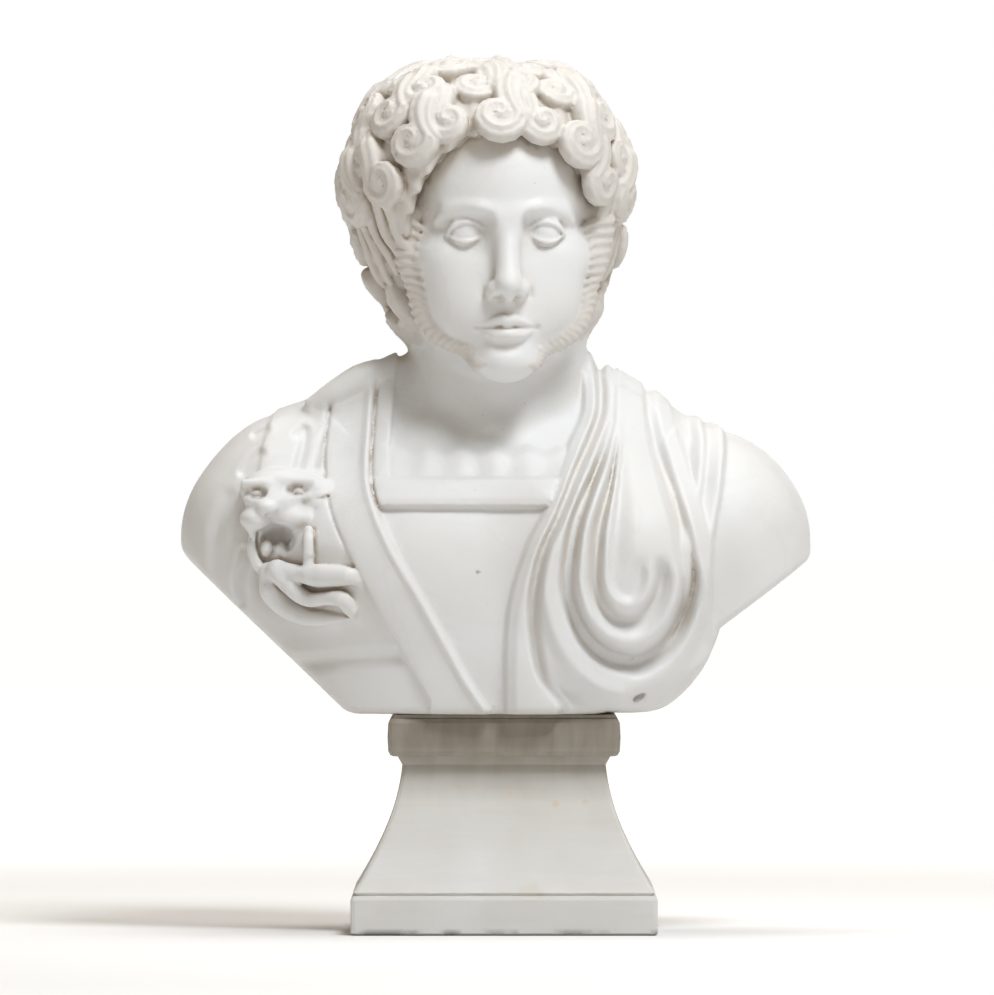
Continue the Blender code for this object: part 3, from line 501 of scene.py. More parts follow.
@functools.cache
def beard():
    """A roll of hair along the edge of the jaw, and the short locks side by side on it."""
    shapes = []
    for s in SIDES:
        line = curve([(-s * u, -38 - 0.70 * (79 + u), w) for u, w in JAW_LEFT], JAW_PLACES)
        core, out = settled(line, face_mass)
        core = core - out * np.linspace(1.0, 5.0, JAW_PLACES)[:, None]
        roll = strand(core[::5], np.linspace(14.5, 5.0, JAW_PLACES // 5))
        shapes.append(roll)

        def mass(points):
            return join(face_mass(points), roll.distance(points), 4.0)

        forward = np.linspace(9.0, 2.0, JAW_PLACES)[:, None] * (0.0, -1.0, 0.0)
        places, out = settled(core + out * 10 + forward, mass)
        length = np.concatenate([[0], np.cumsum(np.sqrt(((places[1:] - places[:-1]) ** 2).sum(1)))])

        def along(line, far):
            """The place on a line at a distance along the jaw."""
            return np.array([np.interp(far, length, line[:, k]) for k in range(3)])

        at = 3.0
        t = np.linspace(-1, 1, LOCK_PLACES)
        routes, radii = [], []
        while at < length[-1]:
            share = at / length[-1]
            here, n, after = along(places, at), along(out, at), along(places, at + 2)
            ahead = (after - here) / (np.linalg.norm(after - here) + TINY)
            over = np.cross(n, ahead) * -s
            over = over * math.cos(0.35 * share + 0.2) + ahead * math.sin(0.35 * share + 0.2)
            thick = 5.4 - 2.4 * share
            reach = 18.5 - 12.0 * share + 1.5 * math.sin(9.0 * share + s)
            sway = 2.2 * t**2 + 0.9 * np.sin(3.0 * t + 11.0 * share)
            routes.append(here - over * reach * t[:, None] + ahead * sway[:, None])
            radii.append(thick * (0.45 + 0.55 * (1 - t**2)))
            at += thick * 1.55
        flat, ups = settled(np.concatenate(routes), mass)
        for k, radius in enumerate(radii):
            part = slice(LOCK_PLACES * k, LOCK_PLACES * (k + 1))
            shapes.append(strand(flat[part] + ups[part] * (radius[:, None] * 0.3), radius, ups[part], 2, 0.9))
    return shapes


@functools.cache
def temple_locks():
    """Wavy locks that come down in front of the ears to the beard."""
    shapes = []
    for s in SIDES:
        for k, (u, v) in enumerate(((80, -42), (85, -33), (90, -23), (94, -12), (97, 0))):
            t = np.linspace(0, 1, 12)
            low = -12 - 6 * k
            side = s * (u - 13 * t**2 + 2.2 * np.sin(t * 9 + k))
            route = np.stack([side, v + 2.5 * np.sin(t * 9 + k + 1.5), 44 + (low - 44) * t], 1)
            places, ups = on_hair(route - CAP_AT)
            shapes.append(strand(places + ups * 0.5, 6.4 - 2.6 * t**2, ups, 3, 0.9, 0.9))
    return shapes


def head_parts(points):
    """The distances to the skin and to the hair, from places in the head's own frame."""
    skin = Clay(points)
    head_mass(skin)
    eyes(skin)
    nose(skin)
    mouth(skin)
    hair = hair_mass(points)
    for shape in beard():
        hair.add(shape, 1.5, 9)
    for shape in temple_locks():
        hair.add(shape, 1.2, 10)
    for shape in curls():
        hair.add(shape, 1.2, 12)
    return skin.depth, hair.depth


def head(points):
    return join(*head_parts(to_head(points)), 2.0)


def neck(clay):
    deep = Clay(clay.points * (1.0, 1.14, 1.0))
    deep.add(limb((-4, 16, 215), (-5, 2, 330), 77, 66), 20)
    clay.depth = join(clay.depth, deep.depth * 0.93, 20)
    for s in SIDES:
        clay.add(limb((-4 + s * 10, -50, 222), (-4 + s * 60, 6, 318), 8, 11), 18)


# Torso
def torso(points):
    clay = Clay(points)
    clay.add(ball((-4, 2, 70), (190, 108, 190)))
    clay.add(ball((-180, 6, 140), (68, 72, 84)), 26)
    clay.add(ball((169, 6, 132), (67, 72, 80)), 26)
    clay.add(limb((-190, 8, 140), (-196, 6, 20), 62, 58), 20)
    clay.add(limb((176, 8, 140), (182, 6, 20), 62, 58), 20)
    clay.add(limb((-49, 22, 254), (-167, 10, 192), 42, 42), 30)
    clay.add(limb((41, 22, 243), (160, 10, 180), 42, 40), 30)
    for s in SIDES:
        clay.add(ball((-4 + s * 78, -62, 120), (82, 48, 62)), 30)
        clay.add(ball((-4 + s * 70, 60, 150), (78, 42, 90)), 30)
    return clay


# Lines on the front, as (x, z) places going up.
SASH_INNER = ((-11, 4), (-26, 26), (-43, 57), (-65, 96), (-85, 130), (-100, 166), (-105, 194))
SASH_INNER += ((-103, 236), (-99, 290))
SASH_OUTER = ((-60, 12), (-81, 49), (-104, 89), (-122, 124), (-138, 162), (-143, 200))
SASH_OUTER += ((-139, 242), (-128, 290))
TOGA_EDGE = ((164, 62), (165, 120), (170, 155), (175, 188), (177, 219), (172, 260))


@functools.cache
def smoothed(line):
    """A line given by a few (x, z) places, as a smooth curve of many, going up."""
    x, _, z = curve([(x, 0.0, z) for x, z in line], 8 * len(line)).T
    return x, np.maximum.accumulate(z)


def line_at(z, line):
    """How far to the right a line runs at each height."""
    x, heights = smoothed(line)
    return np.interp(z, heights, x)


def loops(x, z):
    """Which of the toga's nested loops each place is on: 0 at their axis, growing outwards."""
    narrow = 1.0 - 0.54 * ease(95, 270, z)
    across = (x - 98.0) / narrow
    below = np.minimum(z - 112.0, 0.0) * 0.70
    return np.hypot(across, below), across


# The toga's left edge and the groove beside it, as (x, z) places going up. Then (place, height) stops:
# across the loops on the left and on the right, each low down and at the top, and where it falls at the arm.
TOGA_LEFT = ((2, 5), (2, 53), (6, 92), (20, 136), (36, 167), (52, 213), (64, 244), (61, 290))
INNER_GROOVE = ((47, 7), (30, 30), (23, 64), (23, 95), (30, 128), (43, 157), (57, 192), (70, 222))
INNER_GROOVE += ((77, 246), (75, 290))
LEFT_LOOPS = ((0, 9), (11, 8.0), (18, 13), (26, 4), (38, 15), (48, -1), (58, 12), (66, 14), (76, 10))
LEFT_LOOPS += ((400, 11),)
LEFT_TOP = ((0, 12), (30, 13), (45, 9), (60, 13), (66, 12), (400, 12))
RIGHT_LOOPS = ((0, 9), (10, 8), (18, 12.5), (26, 5), (39, 14), (49, 1), (61, 13), (72, 10), (400, 10))
RIGHT_TOP = ((0, 12), (36, 12), (48, 4), (60, 11), (70, 8), (78, 0), (400, 0))
TOGA_FALL = ((-400, 0), (-40, 5), (-30, 3), (-19, 7.5), (-14, 4), (-3, 7), (1.5, 0), (400, 0))

# The folds' middle height, and how much deeper they are than the stops above say.
FOLD = 8.0
DEEPER = 1.3


def toga(x, z):
    q, across = loops(x, z)
    high = ease(140, 245, z)
    deeper = DEEPER - 0.75 * ease(140, 225, z)
    squeezed = np.interp(q, (0, 22, 44, 78, 400), (0, 45, 66, 78, 400))
    left_q = q + (squeezed - q) * high
    top = ease(190, 235, z)
    left = profile(left_q, LEFT_LOOPS) * (1 - top) + profile(left_q, LEFT_TOP) * top
    left = FOLD + (left - FOLD) * deeper
    groove = x - line_at(z, INNER_GROOVE)
    edge = x - line_at(z, TOGA_LEFT)
    edge_fold = profile(edge, ((-400, 0), (-3.5, 0), (2.0, 7.0), (9, 10.5), (400, 10.5)))
    edge_fold = np.minimum(edge_fold, 2.5 + 8 * ease(0, -6, groove))
    left = np.where(groove > 0, 2.5 + (left - 2.5) * ease(0, 9, groove), edge_fold)
    squeezed = np.interp(q, (0, 34, 73, 400), (0, 48, 73, 400))
    right_q = q + (squeezed - q) * high
    top = ease(108, 130, z)
    right = profile(right_q, RIGHT_LOOPS) * (1 - top) + profile(right_q, RIGHT_TOP) * top
    right = FOLD + (right - FOLD) * deeper
    fall = profile(x - line_at(z, TOGA_EDGE), TOGA_FALL) * ease(80, 115, z)
    right = np.maximum(right * ease(2, -2, x - line_at(z, TOGA_EDGE)), fall)
    mix = ease(-8, 8, across)
    under = 8.0 * ease(66, 82, q) * ease(42, 18, z) * ease(0, 12, groove)
    return left * (1 - mix) + right * mix - under


# The cuirass's upper edge, as (height, relief) stops.
COLLAR = ((-400, 0), (164, 0), (166.5, 6.5), (172, 8), (186.5, 8), (189.5, 2), (191, 0), (400, 0))

# Creases in the cloth: the line each one follows, its depth and its width.
CREASES = (
    (((-136, 250), (-139, 226), (-145, 196)), 3.0, 4.0),
    (((-165, 222), (-159, 226), (-160, 212), (-164, 196)), 2.2, 3.5),
    (((-199, 222), (-190, 226)), 1.8, 3.0),
    (((-194, 207), (-201, 201), (-208, 192)), 2.4, 3.5),
    (((-106, 262), (-120, 257), (-138, 250)), 3.0, 4.0),
    (((-219, 172), (-229, 142), (-229, 92)), 2.0, 6.0),
    (((-205, 128), (-211, 108), (-209, 88)), 3.2, 4.0),
    (((-168, 40), (-124, 43), (-84, 46)), 2.0, 6.0),
    (((-150, 96), (-128, 82), (-116, 66)), 1.2, 7.0),
)


def creased(x, z):
    """How deep the creases are at each place, with a low swell along both sides of each."""
    depth = np.zeros(len(x))
    for line, deep, wide in CREASES:
        crease = strand(curve([(a, 0, b) for a, b in line], 9), np.zeros(9))
        off = np.hypot(x - crease.middle[0], z - crease.middle[2])
        near = np.nonzero(off < crease.reach + 4 * wide)[0]
        if len(near):
            places = np.stack([x[near], np.zeros(len(near)), z[near]], 1)
            away = crease.distance(places) / wide
            depth[near] += deep * (np.exp(-(away**2)) - 0.35 * np.exp(-((away - 1.7) ** 2)))
    return depth


def front_relief(x, z):
    cloth = toga(x, z)
    inner, outer = x - line_at(z, SASH_INNER), x - line_at(z, SASH_OUTER)
    band = profile(inner, ((-400, 7), (-11, 7), (-5.0, 9.5), (2.0, 0), (400, 0))) * ease(-2.5, 2.5, outer)
    skin = x - line_at(z, ((-197, 170), (-196, 184), (-193, 212), (-186, 237), (-180, 260)))
    chest = 3.0 - creased(x, z) + 3.0 * ease(-2, 2, skin) * ease(120, 135, z)
    chest = chest * ease(3, -2, outer)
    middle = ease(-2, 2, inner) * ease(4, -1, x - line_at(z, TOGA_LEFT))
    collar = profile(z, COLLAR)
    strap = profile(inner, ((-400, 6), (12, 6), (15.5, 0), (400, 0))) * ease(180, 186, z)
    lobes = 0.5 + 0.5 * np.cos(2 * math.pi * (x + 8) / 27.0)
    corner = np.maximum(z - 206.0 - 4.0 * lobes, (line_at(z, SASH_INNER) + 40 - x) * 0.6 + z - 232)
    tunic = (3.6 + 1.3 * lobes) * ease(5.0, -3.0, corner) * ease(162, 168, z)
    under = np.maximum.reduce([collar, strap, tunic]) * middle
    return np.maximum.reduce([cloth, band, under, chest])


def back_relief(x, z):
    over = front_relief(x, np.maximum(z, 250.0))
    fold = (z - 0.0030 * (x + 10) ** 2) / 46.0 + 0.35 * np.sin(x / 55.0 + z / 70.0)
    ridge = 1 - np.abs(np.sin(math.pi * fold)) ** 0.8
    cowl = 4.0 + 3.6 * ridge * ease(175, 120, np.abs(x + 6)) * ease(0, 30, z)
    high = ease(226, 266, z + 0.12 * np.abs(x))
    return cowl * (1 - high) + over * high


def relief(points):
    x, y, z = points.T
    front = ease(14, -10, y)
    return front * front_relief(x, z) + (1 - front) * back_relief(x, z)


def cuts(points):
    """Above 0 outside the planes that cut the bust off below."""
    x, _, z = points.T
    left = (3 + (-127 - x) * 0.953 - z) / 1.381
    arm = (63 + (x - 166) * 0.75 - z) / 1.25
    q, _ = loops(x, z)
    hem = np.where(x > 60, np.minimum(arm, (q - 80.5) * 0.9), -FAR)
    return np.maximum(left, hem)


def body_depth(points):
    depth = torso(points).depth - relief(points)
    depth = meet(depth, cuts(points), 6.0)
    return meet(depth, -points[:, 2], 6.0)


# The lion mask and the cloth in its jaws: the mask's place, and the depths tried for the chest
LION_AT = np.array([-178.0, 0.0, 165.0])
DEPTHS = np.linspace(-160.0, 0.0, 161)


@functools.cache
def chest_depth(x, z):
    """Where the chest's surface is at a place seen from the front."""
    line = np.stack([np.full_like(DEPTHS, x), DEPTHS, np.full_like(DEPTHS, z)], 1)
    inside = body_depth(line)
    first = int(np.argmax(inside < 0))
    return float(DEPTHS[first] - inside[first] / (inside[first - 1] - inside[first] + TINY))


def lion(clay):
    back = chest_depth(LION_AT[0], LION_AT[2])

    def at(a, forward, c):
        """From the lion's own place: a to the right, forward out of the chest, c up."""
        return (LION_AT[0] + a, back - forward, LION_AT[2] + c)

    clay.add(ball(at(2, -2, 14), (34, 19, 17)), 5)
    clay.add(ball(at(30, -3, 4), (14, 15, 17)), 6)
    for c in (12, 5, -2):
        clay.carve(limb(at(27, 13, c), at(40, 9, c + 3), 0.8, 1.2), 1.5)
    clay.add(ball(at(-6, 8, 3), (22, 15, 13)), 6)
    clay.add(ball(at(-19, 10, -10), (13, 14, 9.5)), 4)
    clay.add(ball(at(11, 9, -9.5), (17, 14, 10)), 4)
    clay.add(ball(at(-10, 20, -1), (9, 8, 6)), 3)
    for a, c in ((-19, 11), (14, 13)):
        clay.add(limb(at(a - 9, 12, c + 7), at(a + 9, 13, c + 7), 3.6, 3.6), 4)
        clay.add(limb(at(a - 8, 11, c - 5), at(a + 8, 12, c - 5), 2.2, 2.2), 3)
        clay.carve(ball(at(a, 19, c), (9.5, 11, 5.6)), 1.5)
        clay.add(ball(at(a + 1, 8, c - 0.5), (6, 6, 4.2)), 0.6)
    clay.carve(limb(at(-10, 22, -5), at(-8, 24, -18), 1.2, 1.5), 2)
    clay.carve(ball(at(-3, 14, -27), (15, 24, 12.5)), 3)
    for a, c, w in ((-11, -34, 5.6), (0, -36, 6.2), (12, -33, 5.6)):
        clay.add(ball(at(a, 1, c), (w, 8, 7.5)), 0.8)
    clay.add(limb(at(16, 13, -18), at(14, 9, -27), 4.5, 1), 2)
    clay.add(limb(at(-23, 12, -18), at(-20, 8, -27), 4, 1.2), 2)

    def cloth(route, radii, lift, blend=1.2, flat=0.8):
        """A roll of cloth on the chest, lifted out of it by the share of its own thickness given."""
        count = 3 * len(route)
        path = curve([(x, 0, z) for x, z in route], count)
        radii = np.interp(np.linspace(0, 1, count), np.linspace(0, 1, len(radii)), radii)
        path[:, 1] = [chest_depth(round(x, 1), round(z, 1)) for x, _, z in path]
        path[:, 1] -= np.interp(np.linspace(0, 1, count), np.linspace(0, 1, len(lift)), lift)
        up = np.tile((0.0, -1.0, 0.0), (count, 1))
        clay.add(strand(path, radii, up, flat=flat), blend)

    cloth(((-201, 142), (-200, 128), (-195, 117), (-186, 111)), (3, 4, 4.5, 5), (6, 6, 6, 6))
    cloth(((-155, 146), (-155, 132), (-155, 116)), (4, 4.3, 4.5), (7, 7, 7))
    cloth(
        ((-186, 112), (-184, 97), (-173, 85), (-158, 78), (-142, 76), (-122, 76)),
        (9, 10, 9, 8, 6, 2),
        (8, 9, 9, 8, 5, 1),
    )
    cloth(
        ((-180, 114), (-166, 98), (-155, 91), (-142, 92), (-129, 92), (-122, 84), (-119, 77)),
        (9, 7, 6, 5.5, 6.5, 6, 2.5),
        (13, 14, 12, 10, 8, 5, 2),
    )
    cloth(
        ((-176, 113), (-160, 111), (-147, 110), (-132, 110), (-120, 109), (-113, 102)),
        (8, 7, 9.5, 9, 6.5, 2),
        (12, 8, 7, 6, 4, 1),
    )


def shoulder_roll(clay):
    """The roll of cloth over the shoulder beside the neck."""
    places = [(-66, 84, 222), (-70, 58, 248), (-80, 26, 267), (-94, -2, 271)]
    places += [(-114, -18, 268), (-135, -21, 257), (-154, -20, 247)]
    path = curve(places, 20)
    clay.add(strand(path, np.interp(np.linspace(0, 6, 20), range(7), (5, 9, 12, 12, 11, 9, 5))), 10)


# The heights up to which there is body and from which there is head, and the notch below the throat:
# its place, its half sizes and its depth.
BODY_TO = 330
HEAD_FROM = 232
NOTCH = (-9, 220)
NOTCH_SIZE = (9.0, 8.0)
NOTCH_DEPTH = 3.5


def bust(points):
    """The distance from each point to the marble."""
    depth = np.full(len(points), FAR)
    low = points[:, 2] < BODY_TO
    high = points[:, 2] > HEAD_FROM
    clay = Clay(points[low])
    clay.depth = body_depth(clay.points)
    shoulder_roll(clay)
    lion(clay)
    skin = Clay(clay.points)
    neck(skin)
    x, y, z = clay.points.T
    across, up = (x - NOTCH[0]) / NOTCH_SIZE[0], (z - NOTCH[1]) / NOTCH_SIZE[1]
    notch = NOTCH_DEPTH * np.exp(-(across**2) - up**2) * ease(0, -20, y)
    depth[low] = join(clay.depth, skin.depth, 10.0) + notch
    depth[high] = join(depth[high], head(points[high]), 7.0)
    return depth


# Meshes. How many points go through a function at once, the height from which there is hair, and how
# far from a place its crevices and its wider hollows are looked for.
PART_POINTS = 60000
HAIR_FROM = 250
CREVICE_REACH = 4.0
HOLLOW_REACH = 13.0


def quad_mesh(name, points, quads):
    mesh = bpy.data.meshes.new(name)
    mesh.vertices.add(len(points))
    mesh.vertices.foreach_set("co", points.astype(np.float32).ravel())
    mesh.loops.add(4 * len(quads))
    mesh.loops.foreach_set("vertex_index", quads.astype(np.int32).ravel())
    mesh.polygons.add(len(quads))
    mesh.polygons.foreach_set("loop_start", np.arange(0, 4 * len(quads), 4, dtype=np.int32))
    mesh.update(calc_edges=True)
    return mesh


def placed(name, mesh):
    piece = bpy.data.objects.new(name, mesh)
    bpy.context.scene.collection.objects.link(piece)
    return piece


def thinned(piece, triangles):
    """Fewer triangles where the surface is smooth."""
    count = sum(len(face.vertices) - 2 for face in piece.data.polygons)
    if count > triangles:
        fewer = piece.modifiers.new("fewer", "DECIMATE")
        fewer.ratio = triangles / count
        seen = piece.evaluated_get(bpy.context.evaluated_depsgraph_get())
        mesh = bpy.data.meshes.new_from_object(seen)
        piece.modifiers.clear()
        piece.data = mesh
    piece.data.shade_smooth()


def set_share(mesh, name, values):
    layer = mesh.attributes.new(name, "FLOAT", "POINT")
    layer.data.foreach_set("value", np.clip(values, 0.0, 1.0).astype(np.float32))


def vertices_of(mesh):
    points = np.empty(3 * len(mesh.vertices), np.float32)
    normals = np.empty(3 * len(mesh.vertices), np.float32)
    mesh.vertices.foreach_get("co", points)
    mesh.vertex_normals.foreach_get("vector", normals)
    return points.reshape(-1, 3).astype(float), normals.reshape(-1, 3).astype(float)


def in_parts(function, points):
    """function over many points, some at a time."""
    parts = np.array_split(points, len(points) // PART_POINTS + 1)
    return np.concatenate([function(part) for part in parts])


def hollows(field, points, normals, reach):
    """How far the stone around closes each place in, from 0 on a bulge or a flat to 1 in a deep hollow."""
    return 1.0 - np.clip(in_parts(field, points + reach * normals) / reach, 0.0, 1.0)


def hair_share(points):
    """1 on hair and 0 on skin or cloth."""
    share = np.zeros(len(points))
    high = points[:, 2] > HAIR_FROM
    skin, hair = head_parts(to_head(points[high]))
    share[high] = ease(2.2, -2.2, hair - skin) * ease(4.0, 1.5, hair)
    return share


# Where the cloth's hem is chipped, the half sizes of the two bites that make up the chip, and the
# step from one to the other.
CHIP = (106.0, 12.5)
CHIP_SIZES = ((3.8, 3.0, 2.6), (3.2, 2.6, 2.2))
CHIP_STEP = (3.4, 0.0, 1.9)


@functools.cache
def chip():
    """The two bites broken out of the hem."""
    y = np.linspace(-140.0, -20.0, 241)
    line = np.stack([np.full_like(y, CHIP[0]), y, np.full_like(y, CHIP[1])], 1)
    front = y[np.argmax(bust(line) < 0.0)]
    first = np.array((CHIP[0], front - 0.4, CHIP[1]))
    return ball(first, CHIP_SIZES[0]), ball(first + CHIP_STEP, CHIP_SIZES[1])


def worn_bust(points):
    clay = Clay(points)
    clay.depth = bust(points)
    for bite in chip():
        clay.carve(bite, 0.6)
    return clay.depth


def make_bust():
    points, quads = largest(*surface(worn_bust, BUST_LOW, BUST_HIGH, CARVING))
    place = np.array((0.0, 0.0, BUST_BASE))
    piece = placed("bust_carving", quad_mesh("bust_carving", points * UNIT + place, quads))
    thinned(piece, BUST_TRIANGLES)
    points, normals = vertices_of(piece.data)
    points = (points - place) / UNIT
    set_share(piece.data, "crevice", hollows(bust, points, normals, CREVICE_REACH))
    set_share(piece.data, "hollow", hollows(bust, points, normals, HOLLOW_REACH))
    set_share(piece.data, "hair", in_parts(hair_share, points))
    set_share(piece.data, "chip", ease(1.4, -0.2, np.minimum(*(bite.distance(points) for bite in chip()))))
    return piece


# Materials. Colours are in linear light, and a spot is its place across, its height and its radius.
BUST_STONE = ((0.66, 0.668, 0.676), (0.615, 0.611, 0.600))
VEIN = (0.50, 0.50, 0.49)
HAIR_PATINA = (0.52, 0.492, 0.455)
HOLLOW_PATINA = (0.52, 0.43, 0.32)
CREVICE_PATINA = (0.34, 0.265, 0.19)
# A darker colour along the bust's bottom edge.
BOTTOM_EDGE_DARK = (0.42, 0.35, 0.26)
SPECK = (0.38, 0.35, 0.31)
BROKEN = (0.27, 0.25, 0.225)
GREY_SPOT = (0.36, 0.35, 0.32)
GREY_SPOT_AT = (-0.0207, 0.2875, 0.0024)
SOCLE_STONE = ((0.66, 0.668, 0.668), (0.60, 0.595, 0.575))
BEDDING = (0.57, 0.535, 0.475)
FOOT_DIRT = (0.10, 0.095, 0.085)
# Painted light: a pale colour that lightens the socle's groove against the shade of its own depth.
GROOVE_PAINTED_LIGHT = (0.80, 0.79, 0.76)
GROOVE_HEIGHT = 0.0330
# Painted shade with some real dirt: the socle darker towards the top of its shaft.
DIRT_AND_SHADE = (0.40, 0.35, 0.27)
# Painted shadow of the bust on the socle's top slab, partly real dirt as well.
BUST_SHADOW_AND_DIRT = (0.180, 0.155, 0.115)
RUST = (0.58, 0.43, 0.27)
RUST_SPOTS = ((0.0406, 0.1028, 0.0035), (0.0646, 0.1052, 0.0028), (0.0048, 0.1116, 0.0022))
SOAK_RADIUS = (1.0, 0.82, 0.62)
SOAK_SCALE = 0.006


class Nodes:
    """A material's node tree, built by short calls."""

    def __init__(self, name):
        self.material = bpy.data.materials.new(name)
        self.material.use_nodes = True
        self.tree = self.material.node_tree
        self.shader = self.tree.nodes["Principled BSDF"]
        self.place = self.tree.nodes.new("ShaderNodeTexCoord").outputs["Object"]

    def node(self, kind, inputs=(), **settings):
        node = self.tree.nodes.new(kind)
        for name, value in settings.items():
            setattr(node, name, value)
        for name, value in dict(inputs).items():
            self.feed(node.inputs[name], value)
        return node

    def feed(self, socket, value):
        if isinstance(value, bpy.types.NodeSocket):
            self.tree.links.new(value, socket)
        elif isinstance(value, tuple) and len(value) == 3 and socket.type == "RGBA":
            socket.default_value = (*value, 1.0)
        else:
            socket.default_value = value

    def noise(self, scale, detail=3.0, distortion=0.0, stretch=None):
        place = self.place
        if stretch:
            place = self.node("ShaderNodeMapping", {"Vector": place, "Scale": stretch}).outputs[0]
        inputs = {"Vector": place, "Scale": scale, "Detail": detail, "Distortion": distortion}
        return self.node("ShaderNodeTexNoise", inputs).outputs["Fac"]

    def ramp(self, value, low, high, start=0.0, end=1.0):
        inputs = {"Value": value, "From Min": low, "From Max": high, "To Min": start, "To Max": end}
        return self.node("ShaderNodeMapRange", inputs).outputs["Result"]

    def math(self, kind, a, b=0.0):
        node = self.node("ShaderNodeMath", operation=kind)
        self.feed(node.inputs[0], a)
        self.feed(node.inputs[1], b)
        return node.outputs[0]

    def mix(self, share, a, b):
        node = self.node("ShaderNodeMix", data_type="RGBA")
        self.feed(node.inputs[0], share)
        self.feed(node.inputs[6], a)
        self.feed(node.inputs[7], b)
        return node.outputs[2]

    def share(self, name):
        return self.node("ShaderNodeAttribute", attribute_name=name).outputs["Fac"]

    def bump(self, height, strength, distance, normal=None):
        node = self.node("ShaderNodeBump", {"Height": height, "Strength": strength, "Distance": distance})
        if normal:
            self.feed(node.inputs["Normal"], normal)
        return node.outputs["Normal"]

    def separate(self):
        return self.node("ShaderNodeSeparateXYZ", {"Vector": self.place}).outputs

    def spot(self, x, z, radius):
        """1 at a place on the front and 0 beyond the radius, with an uneven edge."""
        flat = self.node("ShaderNodeVectorMath", operation="MULTIPLY")
        self.feed(flat.inputs[0], self.place)
        self.feed(flat.inputs[1], (1.0, 0.0, 1.0))
        away = self.node("ShaderNodeVectorMath", operation="DISTANCE")
        self.feed(away.inputs[0], flat.outputs[0])
        self.feed(away.inputs[1], (x, 0.0, z))
        edge = self.ramp(self.noise(420.0, 2.0), 0.3, 0.7, 0.6, 1.5)
        uneven = self.math("MULTIPLY", away.outputs["Value"], edge)
        near = self.ramp(uneven, radius, 0.45 * radius)
        return self.math("MULTIPLY", near, self.ramp(self.separate()["Y"], 0.0, -0.02))


def polished(n, colour, roughness, soak, normal):
    """The material with its colour, its polish, the light that soaks in, and the finest grain."""
    n.feed(n.shader.inputs["Base Color"], colour)
    n.feed(n.shader.inputs["Roughness"], n.ramp(n.noise(55.0, 4.0), 0.3, 0.7, *roughness))
    n.shader.inputs["Subsurface Weight"].default_value = soak
    n.shader.inputs["Subsurface Radius"].default_value = SOAK_RADIUS
    n.shader.inputs["Subsurface Scale"].default_value = SOAK_SCALE
    n.feed(n.shader.inputs["Normal"], n.bump(n.noise(620.0, 2.0), 0.25, 0.00025, normal))
    return n.material


def bust_marble():
    n = Nodes("bust marble")
    cloud = n.ramp(n.noise(7.0, 5.0, 0.8), 0.35, 0.7)
    colour = n.mix(cloud, *BUST_STONE)
    vein = n.ramp(n.math("ABSOLUTE", n.math("SUBTRACT", n.noise(5.0, 8.0, 2.2), 0.5)), 0.0, 0.02, 0.10, 0.0)
    colour = n.mix(vein, colour, VEIN)
    colour = n.mix(n.math("MULTIPLY", n.share("hair"), 0.8), colour, HAIR_PATINA)
    wear = n.ramp(n.noise(38.0, 4.0), 0.3, 0.75, 0.45, 1.15)
    wide = n.math("MULTIPLY", n.ramp(n.share("hollow"), 0.25, 0.95, 0.0, 0.42), wear)
    colour = n.mix(wide, colour, HOLLOW_PATINA)
    deep = n.math("MULTIPLY", n.ramp(n.share("crevice"), 0.35, 1.0, 0.0, 0.88), wear)
    colour = n.mix(deep, colour, CREVICE_PATINA)
    # Darker along the bust's bottom edge.
    low = n.math("MULTIPLY", n.ramp(n.separate()["Z"], BUST_BASE + 0.006, BUST_BASE + 0.001, 0.0, 0.4), wear)
    colour = n.mix(low, colour, BOTTOM_EDGE_DARK)
    area = n.ramp(n.noise(16.0, 2.0), 0.5, 0.66, 0.0, 0.5)
    speck = n.math("MULTIPLY", n.ramp(n.noise(330.0, 1.0), 0.73, 0.80), area)
    colour = n.mix(speck, colour, SPECK)
    colour = n.mix(n.math("MULTIPLY", n.share("chip"), 0.8), colour, BROKEN)
    colour = n.mix(n.spot(*GREY_SPOT_AT), colour, GREY_SPOT)
    return polished(n, colour, (0.46, 0.62), 0.12, n.bump(n.noise(70.0, 5.0), 0.22, 0.0012))


